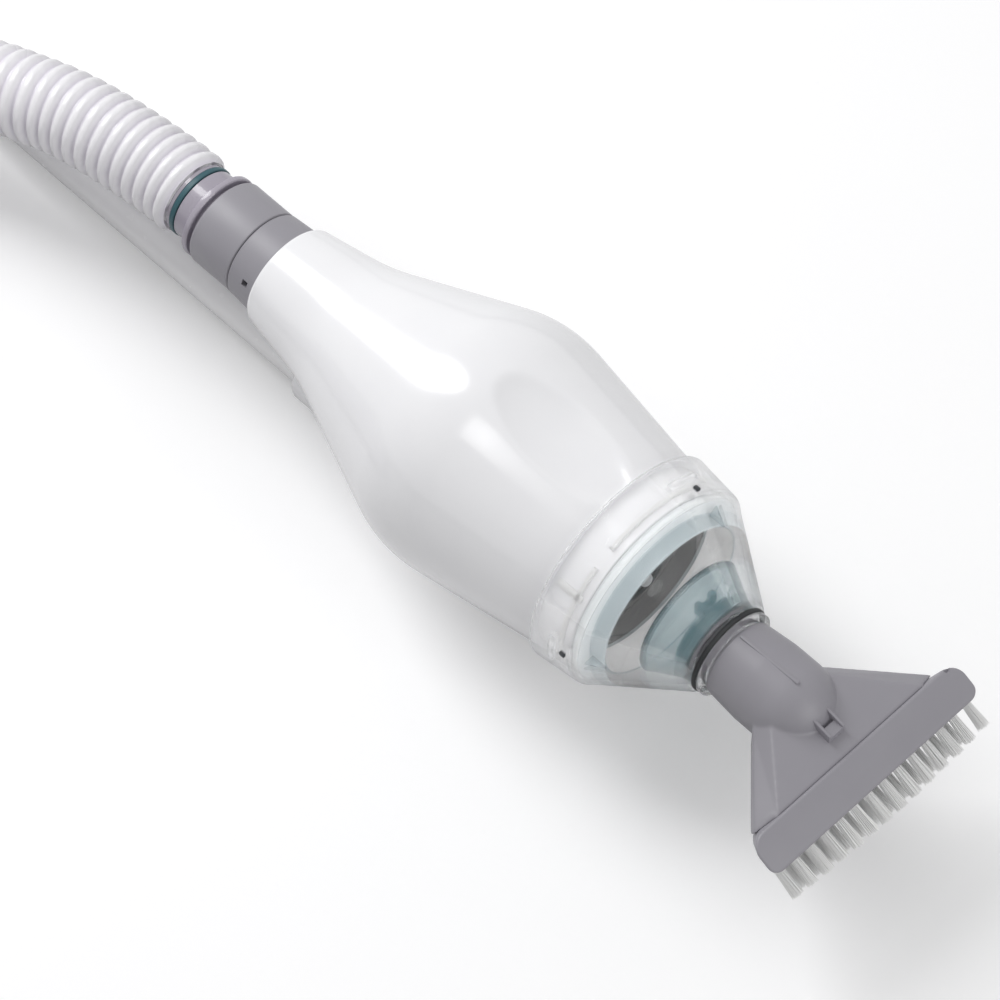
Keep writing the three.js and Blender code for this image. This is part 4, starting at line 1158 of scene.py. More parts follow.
ribs = copies_about_axis(cage_rib(), CAGE_RIBS)
filter_cage = join_pieces("filter_cage", finish_mesh(hub_plate), mouth_hoop, middle_hoop, *ribs)
# The cage is pale plastic, painted dark grey as painted shade inside the bag.
dress(filter_cage, "filter", "pale_plastic", INNER_SHADE, "filter_cage")

KNOB_START, STEM_END = 252.6, 256.6
filter_stem = turned("filter_stem", [
    (CAGE_START + 2.9, 0),
    (CAGE_START + 2.9, 2.0),
    (238, 2.0),
    (KNOB_START, 2.0),
    (KNOB_START + 0.4, 2.9),
    (KNOB_START + 1.2, 3.5),
    (KNOB_START + 2.1, 3.6),
    (KNOB_START + 3.0, 3.2),
    (KNOB_START + 3.7, 2.2),
    (STEM_END, 0.9),
    (STEM_END, 0),
], 64)
# The stem is painted dark grey as painted shade; its knob at the mouth keeps the pale colour.
dress(filter_stem, "filter", "pale_plastic", INNER_SHADE, "filter_stem")
paint_faces(filter_stem, PALE, lambda x, radius: x > KNOB_START)

# %% [markdown]
# ## The clear front
# Ring and cone are one clear moulding. It is turned from its true outline, outside and inside, so
# that its edges show as dense lines and its walls stay clear. Inside the ring, three lugs answer
# the tracks of the body.

# %% Clear housing
CONE_END, HOUSING_END = 308, 314.6
housing = turned("front_housing", [
    (235.3, 59),
    (235.3, 61.2),
    (235.7, 61.8),
    (236.3, 62),
    (259.6, 59.5),
    (261.3, 59.1),
    (262.1, 58.2),
    (CONE_END - 0.6, 27.4),
    (CONE_END, 26.9),
    (308.3, 26.3),
    (308.3, 22.9),
    (311.3, 22.9),
    (311.3, 24.2),
    (311.7, 24.6),
    (HOUSING_END - 0.5, 24.6),
    (HOUSING_END, 24.1),
    (HOUSING_END, 19.9),
    (296.5, 19.9),
    (296.5, 21.9),
    (304, 21.9),
    (304, 25.6),
    (262.2, 54.9),
    (262.2, 55.5),
    (257, 56.2),
], 224, sharp=25)
lugs = arcs_of("lug", 246.5, 249.5, 56.3, 60.4, LUG_ANGLES, 9)
housing = join_pieces("front_housing", housing, *lugs)
dress(housing, "housing", "clear_plastic", CLEAR, "front_housing")

# %% [markdown]
# Two thin gussets stand in the corner between the cone and the filter frame, and two dark studs on
# the ring mark where the front locks. Each is a block with rounded edges, made where the angle is
# zero and then turned to its own.

# %% Gussets and studs
GUSSET_ANGLES = (-46, 98)
STUD_ANGLES = (-31.5, 87.7)


def gusset():
    """A thin rib, lower at its front, for the corner between cone and filter frame."""
    rib = block("gusset", (263.4, -0.9, 46.4), (273, 0.9, 52.6))
    front_top = at(270, 0, 50)
    shift_corners(rib, lambda spot: spot.x > front_top.x and spot.z > front_top.z, z=-5.8)
    return rounded(rib, 0.2, 2)


def stud():
    """A small rounded block on the ring."""
    return rounded(block("stud", (254.4, -1.3, 58.6), (257.6, 1.3, 60.6)), 0.4, 2)


def set_round(name, make, angles):
    """The same small piece at each of the angles round the axis, as one object."""
    return join_pieces(name, *[finish_mesh(turn_about(at(0), make(), angle)) for angle in angles])


dress(set_round("housing_gussets", gusset, GUSSET_ANGLES), "housing", "clear_plastic", TEAL)
dress(set_round("housing_catches", stud, STUD_ANGLES), "housing", "clear_plastic", DARK)

housing_seal = tube("housing_seal", 308.6, 311.0, 23.2, 25.1, soft=0.5, sides=128)
dress(housing_seal, "housing", "black_rubber", RUBBER, "housing_seal")

# %% [markdown]
# ## Inlet cup and flap
# Water comes in through a tinted cup behind the cone. A flap hangs in its mouth and falls shut when
# the suction stops, so that no dirt runs back out.

# %% Inlet cup and flap
CUP_RIM_END = 284.1
PIN_X, PIN_HEIGHT = 293.2, 21.7
inlet_cup = turned("inlet_cup", [
    (282.2, 31.8),
    (282.2, 33.2),
    (282.6, 33.6),
    (283.6, 33.6),
    (284.0, 33.2),
    (285.2, 32.4),
    (300.7, 24.6),
    (303.3, 24.0),
    (303.7, 23.6),
    (303.7, 22.2),
    (297.7, 22.2),
    (284.6, 31.2),
], 160)


def both_sides(near, far):
    """The same stretch across the axis on its right and on its left, each from low to high."""
    return [(-far, -near), (near, far)]


ears = []
for low, high in both_sides(3.0, 6.0):
    ear = block("ear", (291.4, low, 19.9), (294.8, high, 28.4))
    pin_hole = rod("pin_hole", 1.3, at(PIN_X, low - 1, PIN_HEIGHT), at(PIN_X, high + 1, PIN_HEIGHT))
    cut_away(ear, pin_hole)
    ears.append(finish_mesh(ear))
inlet_cup = join_pieces("inlet_cup", inlet_cup, *ears)
dress(inlet_cup, "housing", "teal_plastic", TEAL, "inlet_cup")
# Painted shade: the cup's rim is painted darker than the cup.
paint_faces(inlet_cup, CUP_RIM_SHADE, lambda x, radius: x < CUP_RIM_END)


def make_flap():
    """A disc with a ring round its face, cut clear of the ears, and its knuckle."""
    disc = turned("inlet_flap", [
        (294.5, 0),
        (294.5, 15.2),
        (294.1, 15.8),
        (294.1, 17.2),
        (294.5, 17.8),
        (294.5, 21.2),
        (294.9, 21.7),
        (295.7, 21.7),
        (296.1, 21.2),
        (296.1, 0),
    ], 96)
    stretches = both_sides(2.7, 12)
    cut_away(disc, *[block("clear", (290, low, 18.7), (297.5, high, 25)) for low, high in stretches])
    knuckle = rod("knuckle", 2.1, at(PIN_X, -2.7, PIN_HEIGHT), at(PIN_X, 2.7, PIN_HEIGHT))
    hole = rod("hole", 1.3, at(PIN_X, -4, PIN_HEIGHT), at(PIN_X, 4, PIN_HEIGHT))
    cut_away(knuckle, hole)
    return join_pieces("inlet_flap", finish_mesh(disc), finish_mesh(knuckle))


dress(make_flap(), "flap", "teal_plastic", FLAP, "inlet_flap")

# %% [markdown]
# ## Nozzle
# The nozzle is one grey moulding: a round neck that fans out flat and wide, with soft fillets
# where they meet. Neck and fan are built as plain shapes pushed into each other. A voxel remesh
# then melts them into one skin, and a little smoothing makes the fillets.

# %% Place of the fan mouth
NECK_START, NECK_END = 314.9, 349.9
BRUSH_TILT = math.radians(28)
mouth = Matrix.Translation(at(390.9, 0, 3.2)) @ Matrix.Rotation(BRUSH_TILT, 4, "Y")
FAN_HALF, FAN_THICKNESS = 62, 23
REAR_HALF, REAR_TOP, REAR_BOTTOM = 24.4, 11, -21


def to_mouth(obj):
    """Moves what was built at the origin into the tilted frame of the fan mouth."""
    return moved(obj, mouth)


# %% Fan


def fan_block(name, start, reach, inset, chamfer):
    """A flat block that widens from the rear section to the mouth, with bevelled sides."""
    fan = block(
        name,
        (start, inset - REAR_HALF, REAR_BOTTOM + inset),
        (380, REAR_HALF - inset, REAR_TOP - inset),
    )
    corners = [vertex for vertex in fan.data.vertices if vertex.co.x > at(360).x]
    for vertex in corners:
        side = 1 if vertex.co.y > 0 else -1
        top = vertex.co.z > axis_z - 0.005
        height = -inset if top else inset - FAN_THICKNESS
        vertex.co = mouth @ plain(reach, side * (FAN_HALF - inset), height)
    edit(fan, "EDGE")
    pick(fan, "edges", lambda spot: at(start + 2).x < spot.x < at(378).x and abs(spot.y) > 20 * MM)
    bpy.ops.mesh.bevel(offset=chamfer * MM, segments=1, affect="EDGES")
    bpy.ops.object.mode_set(mode="OBJECT")
    return fan


def mouth_block(name, start, end, inset, chamfer=8.5):
    """A bevelled block in the frame of the mouth, smaller than the mouth by the inset."""
    piece = block(
        name,
        (start, inset - FAN_HALF, inset - FAN_THICKNESS),
        (end, FAN_HALF - inset, -inset),
        plain,
    )
    edit(piece, "EDGE")
    middle_x = (start + end) / 2 * MM
    pick(piece, "edges", lambda spot: abs(spot.x - middle_x) < 0.0001 and abs(spot.y) > 50 * MM)
    bpy.ops.mesh.bevel(offset=chamfer * MM, segments=1, affect="EDGES")
    bpy.ops.object.mode_set(mode="OBJECT")
    return to_mouth(piece)


def remeshed(obj, voxel, smoothing):
    """One even skin round everything in the object, smoothed a few times."""
    bake_modifier(obj, "REMESH", mode="VOXEL", voxel_size=voxel * MM)
    edit(obj)
    bpy.ops.mesh.select_all(action="SELECT")
    bpy.ops.mesh.vertices_smooth(factor=0.5, repeat=smoothing)
    bpy.ops.object.mode_set(mode="OBJECT")
    return obj


# %% [markdown]
# Neck, fan and tongue are joined and melted into the skin of the nozzle. The way through it is the
# same set of shapes made smaller, melted together too and cut out. The key on the neck and the clip
# on the fan stay crisp, so they are added after the melting.

# %% Nozzle
NECK_RADIUS, DOME_LENGTH = 23.2, 25
NECK_WALL, NOZZLE_WALL = 2.2, 4


def dome(radius, length, steps=14):
    """The outline of the neck's rounded end, from its full radius down to the axis."""
    turns = [math.pi / 2 * step / steps for step in range(steps)]
    points = [(NECK_END + length * math.sin(turn), radius * math.cos(turn)) for turn in turns]
    return points + [(NECK_END + length, 0.4), (NECK_END + length, 0)]


def make_nozzle():
    """Neck, fan and tongue in one skin, with the way through it cut out."""
    neck = turned("nozzle", [
        (297.9, 0),
        (297.9, 19.0),
        (298.2, 19.3),
        (306.9, 19.3),
        (NECK_START, 19.3),
        (NECK_START, 21.0),
        (NECK_START + 0.4, 21.4),
        (334.9, NECK_RADIUS),
        *dome(NECK_RADIUS, DOME_LENGTH),
    ], 160)
    fan = fan_block("fan", start=348.9, reach=0.1, inset=0, chamfer=8.5)
    tongue = mouth_block("tongue", start=-2.3, end=8, inset=2.2)
    skin = remeshed(join_pieces("nozzle", neck, fan, tongue), voxel=0.75, smoothing=3)
    bore = turned("bore", [
        (296, 0),
        (296, 17.1),
        (NECK_START, 17.1),
        (NECK_START + 3, 19.2),
        *dome(NECK_RADIUS - NECK_WALL, DOME_LENGTH - NECK_WALL),
    ], 64)
    fan_inside = fan_block("fan_inside", start=345, reach=0, inset=NOZZLE_WALL, chamfer=7)
    mouth_inside = mouth_block("mouth_inside", start=-1, end=9, inset=NOZZLE_WALL, chamfer=7)
    way = join_pieces("inside", bore, fan_inside, mouth_inside)
    inside = remeshed(way, voxel=1.2, smoothing=1)
    cut_away(skin, inside)
    bed = tube("bed", 304.6, 308.2, 18.0, 20.5, sides=96)
    cut_away(skin, bed)
    return finish_mesh(skin, 50)


def nozzle_trim():
    """The thin key on top of the neck, and the clip on the fan: two ribs with a bar."""
    key = rounded(block("key", (316.9, -1.1, 19.4), (354.9, 1.1, 22.7)), 0.5)
    shift_corners(key, lambda spot: spot.x > at(327).x, z=1.2)
    ribs = []
    front_top = at(375, 0, 5)
    for y in (-4.6, 4.6):
        rib = block("clip_rib", (367.2, y - 0.8, 0), (381.2, y + 0.8, 13.6))
        shift_corners(rib, lambda spot: spot.x > front_top.x and spot.z > front_top.z, z=-3.6)
        ribs.append(rounded(rib, 0.4))
    bar = rounded(block("clip_bar", (375.2, -4.6, 0), (381.2, 4.6, 8.8)), 0.5)
    return [finish_mesh(piece) for piece in (key, *ribs, bar)]


nozzle = join_pieces("nozzle", make_nozzle(), *nozzle_trim())
dress(nozzle, "suction_nozzle", "grey_plastic", GREY, "nozzle")

nozzle_seal = turned("nozzle_seal", [
    (304.9, 18.3),
    (304.9, 19.2),
    (305.4, 19.6),
    (307.4, 19.6),
    (307.9, 19.2),
    (307.9, 18.3),
], 96)
dress(nozzle_seal, "suction_nozzle", "black_rubber", RUBBER, "nozzle_seal")

# %% [markdown]
# ## Brush frame and bristles
# A frame slides over the mouth of the nozzle and carries two strips of bristle. Its four upright
# edges are rounded first, the tight ones at the back, and its top and bottom rims after them, as a
# pattern maker would round a block.

# %% Brush frame
FRAME_DEPTH, FRAME_HALF, FRAME_TOP, FRAME_BOTTOM = 20.8, 72, 1.8, -24.2
UNDERSIDE_HALF = 60
REAR_CORNER, FRONT_CORNER = 9, 5.5
TUFT_PITCH = 10
BRUSH_ROWS = {"brush_strip_upper": (-5.5, 14), "brush_strip_lower": (-19.5, 12)}


def strip_half(count):
    """Half the length of a strip with this many tufts."""
    return (count - 1) / 2 * TUFT_PITCH + 2.3


def make_brush_frame():
    """A rounded block, narrower underneath, with a pocket, two grooves, a slot and a notch."""
    frame_block = block(
        "brush_frame",
        (0, -FRAME_HALF, FRAME_BOTTOM),
        (FRAME_DEPTH, FRAME_HALF, FRAME_TOP),
        plain,
    )
    for vertex in frame_block.data.vertices:
        if vertex.co.z < 0.5 * FRAME_BOTTOM * MM:
            vertex.co.y *= UNDERSIDE_HALF / FRAME_HALF
    middle_z = (FRAME_TOP + FRAME_BOTTOM) / 2 * MM
    for radius, at_back in ((REAR_CORNER, True), (FRONT_CORNER, False)):
        edit(frame_block, "EDGE")
        pick(frame_block, "edges", lambda spot: (
            abs(spot.z - middle_z) < 0.0001
            and (spot.x < 0.002) == at_back
            and abs(spot.y) > UNDERSIDE_HALF * MM
            and (spot.x < 0.0001 or spot.x > (FRAME_DEPTH - 0.1) * MM)
        ))
        bpy.ops.mesh.bevel(offset=radius * MM, segments=8, affect="EDGES")
    edit(frame_block, "EDGE")
    pick(frame_block, "edges", lambda spot: (
        abs(spot.z - FRAME_TOP * MM) < 0.00001 or abs(spot.z - FRAME_BOTTOM * MM) < 0.00001
    ))
    bpy.ops.mesh.bevel(offset=1.7 * MM, segments=4, affect="EDGES")
    bpy.ops.object.mode_set(mode="OBJECT")
    slot = block("slot", (7, -56, -15.5), (24, 56, -9.5), plain)
    grooves = []
    for z, count in BRUSH_ROWS.values():
        half = strip_half(count) + 0.3
        grooves.append(block("groove", (14.5, -half, z - 2.6), (24, half, z + 2.6), plain))
    notch = rod("notch", 2.0, plain(0.8, 65, -0.6), plain(0.8, 65, 4))
    cutters = [to_mouth(tool) for tool in (slot, *grooves, notch)]
    pocket = mouth_block("pocket", start=-1, end=8.3, inset=1.9)
    cut_away(to_mouth(frame_block), pocket, *cutters)
    return finish_mesh(frame_block)


dress(make_brush_frame(), "brush", "grey_plastic", GREY, "brush_frame")

# %% [markdown]
# A tuft is some sixty straight filaments stapled into one hole, so it opens like a fan towards its
# tips. One filament is a thin four-sided spike. One tuft is built from it, and every tuft of the
# strips is a copy of that one, turned a little about its own axis.

# %% Bristles
TUFT_ROOT, TUFT_TIP = 2.2, 3.4
ROOT_X, TIP_X = 19.3, 37.4
FILAMENTS = 64


def make_tuft():
    """One tuft at the origin, pointing along X."""
    random.seed(11)
    bpy.ops.object.select_all(action="DESELECT")
    bpy.ops.mesh.primitive_cone_add(
        vertices=4, radius1=0.26 * MM, radius2=0.22 * MM, depth=MM, end_fill_type="NGON",
    )
    filament = bpy.context.object
    filaments = []
    golden = math.pi * (3 - math.sqrt(5))
    for index in range(FILAMENTS):
        reach = math.sqrt((index + 0.5) / FILAMENTS)
        angle = golden * index + random.uniform(-0.2, 0.2)
        short = random.uniform(0, 1.1) + 0.5 * reach
        at_root = TUFT_ROOT * reach
        root = plain(ROOT_X, at_root * math.cos(angle), at_root * math.sin(angle))
        tip = plain(
            TIP_X - short,
            (TUFT_TIP * reach + random.uniform(-0.2, 0.2)) * math.cos(angle),
            (TUFT_TIP * reach + random.uniform(-0.2, 0.2)) * math.sin(angle),
        )
        span = tip - root
        twin = twin_of(filament)
        twin.matrix_world = Matrix.LocRotScale(
            (root + tip) / 2, span.to_track_quat("Z", "Y"), (1, 1, span.length / MM),
        )
        filaments.append(twin)
    bpy.data.objects.remove(filament)
    tuft = join_pieces("tuft", *filaments)
    place(tuft)
    return tuft


def make_strip(name, tuft, height, count, turn):
    """A bar with its row of tufts, trimmed so that the row bows out a little in the middle."""
    random.seed(turn)
    reach = strip_half(count)
    bar = block(name, (14.8, -reach, height - 2.3), (20.5, reach, height + 2.3), plain)
    rounded(bar, 0.4, 2)
    tufts = []
    for index in range(count):
        twin = twin_of(tuft)
        y = (index - (count - 1) / 2) * TUFT_PITCH
        length = 1.06 - 0.16 * (y / FRAME_HALF) ** 2
        lean = Euler((
            random.uniform(0, math.tau),
            random.uniform(-0.006, 0.006),
            random.uniform(-0.012, 0.012),
        ))
        twin.matrix_world = Matrix.LocRotScale(
            plain(ROOT_X * (1 - length), y, height), lean, Vector((length, 1, 1)),
        )
        tufts.append(twin)
    return to_mouth(join_pieces(name, bar, *tufts))


tuft = make_tuft()
for index, (name, (height, count)) in enumerate(BRUSH_ROWS.items()):
    strip = make_strip(name, tuft, height, count, index + 3)
    dress(strip, "brush", "bristle", BRISTLE, name)
bpy.data.objects.remove(tuft)

# %% [markdown]
# ## Pole
# The pole is two thin painted tubes, one sliding in the other. It lies under the cleaner, in a
# socket that is screwed to the body, and a spring button holds it there. Its far end has a twist
# lock, a ribbed grip and a loop to hang it by. The axis of the pole is found from its own box.

# %% Pole tubes
pole_z = (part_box("pole_inner")[0][2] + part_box("pole_inner")[1][2]) / 2
POLE_AXIS = (0, (pole_z - axis_z) / MM)
INNER_START, INNER_END = along("pole_inner", 0), along("pole_inner", 1)
OUTER_START, OUTER_END = along("pole_outer", 0), along("pole_outer", 1)
BUTTON_X = INNER_END - 26


def on_pole(x, y=0.0, z=0.0):
    """A point in metres from millimetres along, across and above the pole's axis."""
    return at(x, y + POLE_AXIS[0], z + POLE_AXIS[1])


pole_inner = tube("pole_inner", INNER_START, INNER_END, 12.7, 14, centre=POLE_AXIS, sides=128)
cut_away(pole_inner, rod("button_hole", 4.1, on_pole(BUTTON_X, 5), on_pole(BUTTON_X, 20)))
dress(finish_mesh(pole_inner), "cleaner", "pole_paint", PAINT, "pole_inner")

pole_outer = tube("pole_outer", OUTER_START, OUTER_END, 14.7, 16, centre=POLE_AXIS, sides=128)
dress(pole_outer, "outer_pole", "pole_paint", PAINT, "pole_outer")

# %% [markdown]
# The twist lock has finger ribs so that wet hands can turn it. A rib is a half-sunk round bar, and
# sixteen copies of it stand round the collar.

# %% Twist lock
FINGER_RIBS = 16
LOCK_FRONT = along("pole_lock_collar", 1)
LOCK_BACK = along("pole_lock_collar", 0)
lock = turned("pole_lock_collar", [
    (LOCK_FRONT, 14.5),
    (LOCK_FRONT, 16.8),
    (LOCK_FRONT - 1.6, 18.2),
    (LOCK_FRONT - 6, 18.2),
    (LOCK_FRONT - 7, 17.4),
    (LOCK_BACK + 5, 17.4),
    (LOCK_BACK + 4, 18.4),
    (LOCK_BACK + 1, 18.6),
    (LOCK_BACK, 17.8),
    (LOCK_BACK, 16.5),
    (OUTER_END + 0.3, 16.5),
    (OUTER_END + 0.3, 14.5),
], 128, POLE_AXIS)
finger_ribs = []
for index in range(FINGER_RIBS):
    bar_ends = on_pole(LOCK_BACK + 4.5, 0, 17.5), on_pole(LOCK_FRONT - 6.5, 0, 17.5)
    bar = rod("finger_rib", 1.1, *bar_ends, 12)
    finger_ribs.append(finish_mesh(turn_about(on_pole(0), bar, index * 360 / FINGER_RIBS)))
lock = join_pieces("pole_lock_collar", lock, *finger_ribs)
dress(lock, "lock", "grey_plastic", GREY, "pole_lock_collar")

# %% [markdown]
# The grip is a rubber sleeve with rounded ridges. Its outline is one ridge, repeated by a loop.

# %% Grip
GRIP_BACK, GRIP_FRONT = along("pole_grip", 0), along("pole_grip", 1)
RIDGE_PITCH = 7.75


def grip_outline():
    """Collar, ridges and collar of the sleeve."""
    outline = [(GRIP_BACK, 16.3), (GRIP_BACK, 18.6), (GRIP_BACK + 0.5, 19), (GRIP_BACK + 7, 19)]
    ridges = int((GRIP_FRONT - GRIP_BACK - 16) // RIDGE_PITCH)
    for index in range(ridges):
        start = GRIP_BACK + 8 + index * RIDGE_PITCH
        outline += [
            (start, 18.4),
            (start + 0.9, 17.7),
            (start + 2.0, 17.7),
            (start + 2.9, 18.4),
            (start + 4.1, 18.9),
            (start + 5.9, 18.9),
        ]
    return outline + [
        (GRIP_FRONT - 6, 19),
        (GRIP_FRONT - 1.4, 19),
        (GRIP_FRONT, 17.6),
        (GRIP_FRONT, 16.3),
    ]


grip = turned("pole_grip", grip_outline(), 128, POLE_AXIS)
dress(grip, "outer_pole", "grip_rubber", GRIP, "pole_grip")

# %% [markdown]
# Socket, end cap and hanging loop are chunky mouldings with soft edges. Their construction solids
# have the right shape but hard facets. A copy of each is welded, given one even skin by a voxel
# remesh, and smoothed, which rounds every edge and fills every inner corner with a fillet.

# %% Softened mouldings


def softened(node, voxel, smoothing):
    """A soft-edged copy of a construction solid."""
    twin = twin_of(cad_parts[node])
    twin.name = node + "_soft"
    twin.parent = None
    twin.matrix_world = Matrix.Identity(4)
    twin.hide_render = False
    for key in list(twin.keys()):
        del twin[key]
    weld(twin)
    return finish_mesh(remeshed(twin, voxel, smoothing), 45)


socket = softened("pole_socket", voxel=0.8, smoothing=4)
dress(socket, "cleaner", "white_shell", WHITE_SHELL, "pole_socket")
end_cap = softened("pole_end_cap", voxel=0.55, smoothing=4)
dress(end_cap, "outer_pole", "grey_plastic", GREY, "pole_end_cap")
loop = softened("hang_loop", voxel=0.4, smoothing=6)
dress(loop, "loop", "grey_plastic", GREY, "hang_loop")

# %% [markdown]
# The spring button is a turned steel pin with a domed end. It is pressed across the pole, so it is
# turned along the cleaner first and then swung round to point sideways.

# %% Button
button_low, button_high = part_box("snap_button")
button_tip = button_high[1] / MM


def make_button():
    """A pin with a flange for its spring and a domed head, swung to point across the pole."""
    flange, shank, head = 5.0, 3.6, 2.6
    back = button_low[1] / MM
    pin = turned("snap_button", [
        (back, 0),
        (back, flange - 0.3),
        (back + 0.3, flange),
        (back + 1.1, flange),
        (back + 1.4, flange - 0.3),
        (back + 1.4, shank),
        (button_tip - 1.1, shank),
        (button_tip - 0.6, shank - 0.25),
        (button_tip - 0.15, head),
        (button_tip, head - 1.2),
        (button_tip, 0),
    ], 48, origin=plain)
    swing = Matrix.Translation(on_pole(BUTTON_X)) @ Matrix.Rotation(math.pi / 2, 4, "Z")
    return moved(pin, swing)


dress(make_button(), "button", "steel", STEEL, "snap_button")

# %% [markdown]
# ## End of the hose
# The free end of the hose is a plain grey cuff that pushes onto the pump's nozzle. It is turned
# along X and then moved onto the coil, square to its radius.

# %% End cuff
END_CUFF_ANGLE, END_CUFF_LENGTH = 311, 92


def on_coil(degrees, height):
    """The frame of a piece that lies along the coil at this angle."""
    angle = math.radians(degrees)
    x = COIL_CENTRE[0] + COIL_RADIUS * math.cos(angle)
    y = COIL_CENTRE[1] + COIL_RADIUS * math.sin(angle)
    turn = Matrix.Rotation(angle + math.pi / 2, 4, "Z")
    return Matrix.Translation(at(x, y, height - axis_z / MM)) @ turn


def make_end_cuff():
    """A sleeve with a finger band in its middle, on the top turn of the coil."""
    half = END_CUFF_LENGTH / 2
    cuff = turned("hose_end_cuff", [
        (-half, 19.7),
        (-half, 22.2),
        (-half + 0.7, 22.9),
        (-half + 27, 22.9),
        (-half + 28, 22.3),
        (-half + 33, 22.3),
        (-half + 34, 22.9),
        (-half + 37, 22.9),
        (-half + 38, 22.3),
        (half - 22, 22.0),
        (half - 21, 22.7),
        (half - 0.8, 22.7),
        (half, 22.0),
        (half, 19.7),
    ], 128, origin=plain)
    return moved(cuff, on_coil(END_CUFF_ANGLE, HIGH_TURN))


end_cuff = dress(make_end_cuff(), "cleaner", "grey_plastic", GREY, "hose_end_cuff")

# %% [markdown]
# A hook-and-loop strap keeps the turns together. It is a flat band that follows the outside of
# three round hoses, so its path is worked out as the outline of three circles, and Solidify gives
# the band its thickness. Pressed shut, it is one closed loop.

# %% Tie
TIE_ANGLE, TIE_WIDTH, TIE_THICKNESS, TIE_GAP = 200, 26, 1.0, 0.45
TIE_STEPS = 12


def make_tie():
    """A band round the three turns, standing across the coil."""
    grown = HOSE_RADIUS + TIE_GAP
    half = TURN_SPACING / 2
    arcs = [
        (-half, 0.0, 270, 150),
        (0.0, HIGH_TURN - LOW_TURN, 150, 30),
        (half, 0.0, 30, -90),
    ]
    outline = []
    for across, above, start, stop in arcs:
        for step in range(TIE_STEPS + 1):
            angle = math.radians(start + (stop - start) * step / TIE_STEPS)
            outline.append((across + grown * math.cos(angle), above + grown * math.sin(angle)))
    bpy.ops.object.select_all(action="DESELECT")
    bpy.ops.mesh.primitive_circle_add(vertices=len(outline), radius=0.05, fill_type="NOTHING")
    strap = bpy.context.object
    strap.name = "hose_tie"
    for vertex, (across, above) in zip(strap.data.vertices, outline):
        vertex.co = plain(-TIE_WIDTH / 2, -across, above)
    edit(strap, "EDGE")
    bpy.ops.mesh.select_all(action="SELECT")
    bpy.ops.mesh.extrude_region_move(TRANSFORM_OT_translate={"value": (TIE_WIDTH * MM, 0, 0)})
    bpy.ops.mesh.select_all(action="SELECT")
    bpy.ops.mesh.normals_make_consistent(inside=False)
    bpy.ops.object.mode_set(mode="OBJECT")
    bake_modifier(strap, "SOLIDIFY", thickness=TIE_THICKNESS * MM, offset=1)
    return finish_mesh(moved(strap, on_coil(TIE_ANGLE, LOW_TURN)), 40)


tie = dress(make_tie(), "cleaner", "grip_rubber", STRAP, "hose_tie")

# %% [markdown]

# %% [markdown]
# ## Solids that stay
# Screws, pins, the spring, the cam and the seals hide inside. Their construction solids are fine as
# they are and only need their finish.

# %% Finish the solids that stay
STAYING = {
    "socket_screw_rear": STEEL,
    "socket_screw_front": STEEL,
    "flap_pin": STEEL,
    "button_spring": STEEL,
    "lock_cam": DARK,
    "swivel_seal": RUBBER,
}
for node, finish in STAYING.items():
    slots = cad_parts[node].material_slots
    for slot in slots:
        slot.material = finish
    print(node, "keeps its solid,", len(slots), "slot")

# %% [markdown]
# ## Studio
# The floor is plain and pale. It takes the shadow of the cleaner like any floor. To the eye it
# glows a little, so that it reads as white paper, but the light that it throws back on the cleaner
# is that of a duller sheet, which keeps the shade under the body. Light Path tells the two apart.

# %% Floor
PAPER, PAPER_SHADE = (0.85, 0.85, 0.855, 1), (0.83, 0.83, 0.838, 1)
DULL_SHEET = (0.57, 0.57, 0.57, 1)
FLOOR_GLOW, FLOOR_SIZE = 0.2, 24


def floor_finish():
    """White paper to the eye, a duller sheet to the cleaner."""
    finish = Finish("floor", Roughness=0.9, Emission_Strength=FLOOR_GLOW, Specular_IOR_Level=0.1)
    eye, mirror, glass = (
        finish.node("ShaderNodeLightPath", {}, {}, f"Is {kind} Ray")
        for kind in ("Camera", "Glossy", "Transmission")
    )
    paper = finish.mix(finish.noise(3, 2), PAPER, PAPER_SHADE)
    finish.feed("Base Color", finish.mix(eye + mirror + glass, DULL_SHEET, paper))
    finish.feed("Emission Color", finish.mix(eye + glass, BLACK, WHITE))
    return finish.material


bpy.ops.object.select_all(action="DESELECT")
bpy.ops.mesh.primitive_plane_add(size=FLOOR_SIZE, location=(0, 0, 0))
floor = bpy.context.object
floor.name = "floor"
floor.data.materials.append(floor_finish())
print("floor laid")

# %% [markdown]
# The world is white all round, and gives the even light of a studio from every side. It is softer
# for the surfaces than for the eye, so that the lamps can still draw the shapes.

# %% World
SOFT_LIGHT = 0.43
world = bpy.data.worlds.new("studio")
bpy.context.scene.world = world
world.use_nodes = True
world_nodes, world_links = world.node_tree.nodes, world.node_tree.links
rays = world_nodes.new("ShaderNodeLightPath")


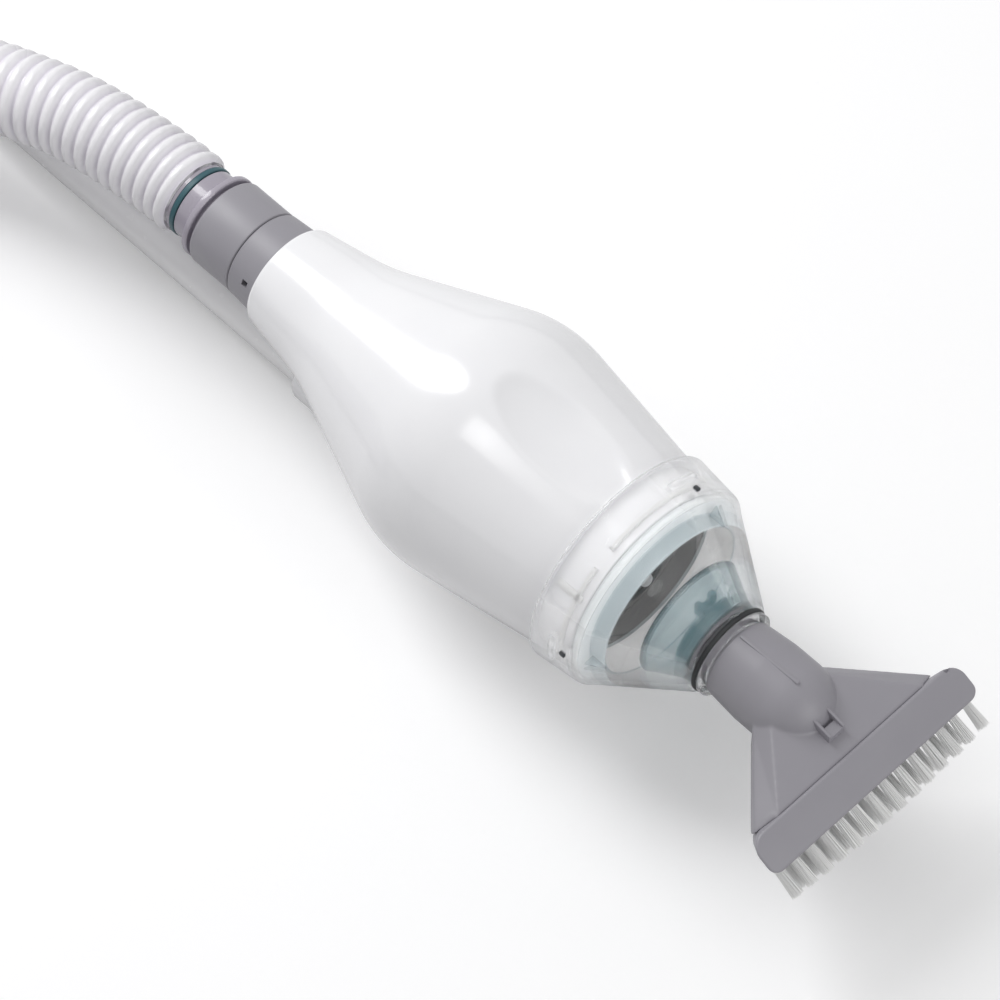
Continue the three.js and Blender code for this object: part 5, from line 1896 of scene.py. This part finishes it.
def either(first, second):
    """1 where one of two masks is 1."""
    most = world_nodes.new("ShaderNodeMath")
    most.operation = "MAXIMUM"
    for mask, socket in zip((first, second), most.inputs):
        world_links.new(mask, socket)
    return most.outputs[0]


seen = either(rays.outputs["Is Camera Ray"], rays.outputs["Is Transmission Ray"])
seen = either(seen, rays.outputs["Is Glossy Ray"])
strength = world_nodes.new("ShaderNodeMapRange")
strength.inputs["To Min"].default_value = SOFT_LIGHT
strength.inputs["To Max"].default_value = 1.0
world_links.new(seen, strength.inputs["Value"])
world_links.new(strength.outputs["Result"], world_nodes["Background"].inputs["Strength"])
world_nodes["Background"].inputs["Color"].default_value = WHITE
print("world gives", SOFT_LIGHT, "of white to the surfaces")

# %% [markdown]
# One large lamp stands behind the cleaner, over its hose, and gives the roundness. A weaker one
# faces it and lifts what looks forward. A tiny one is placed where the skin mirrors it as a bright
# spot beside the dimple.

# %% Lamps


def lamp(name, aimed_at, direction, away, watts, width_axis, width, depth):
    """An oval lamp, this many metres away in that direction, its width along the given axis."""
    bpy.ops.object.select_all(action="DESELECT")
    bpy.ops.object.light_add(type="AREA", location=aimed_at + direction * away)
    light = bpy.context.object
    light.name = name
    light.data.energy = watts
    light.data.shape = "ELLIPSE"
    light.data.size = width
    light.data.size_y = depth
    above = direction.cross(Vector(width_axis)).normalized()
    axes = Matrix((above.cross(direction), above, direction))
    light.rotation_euler = axes.transposed().to_euler()
    print(f"{name} lamp, {watts} W, {away} m away")


ACROSS, LENGTHWISE = (0, 1, 0), (1, 0, 0)
STUDIO_DISTANCE = 2.4
SPOT_AT = at(166.6, -27, 63.1)
KEY_DIRECTION = Vector((-0.72, -0.02, 0.63)).normalized()
FILL_DIRECTION = Vector((0.9, 0, 0.45)).normalized()
SPOT_DIRECTION = (back * 0.89 + up * 0.33 - right * 0.33).normalized()
lamp("key", aim, KEY_DIRECTION, STUDIO_DISTANCE, 38.5, ACROSS, 1.05, 2.2)
lamp("fill", aim, FILL_DIRECTION, STUDIO_DISTANCE, 16, ACROSS, 1.6, 1.6)
lamp("spot", SPOT_AT, SPOT_DIRECTION, 1, 0.3, LENGTHWISE, 0.011, 0.42)
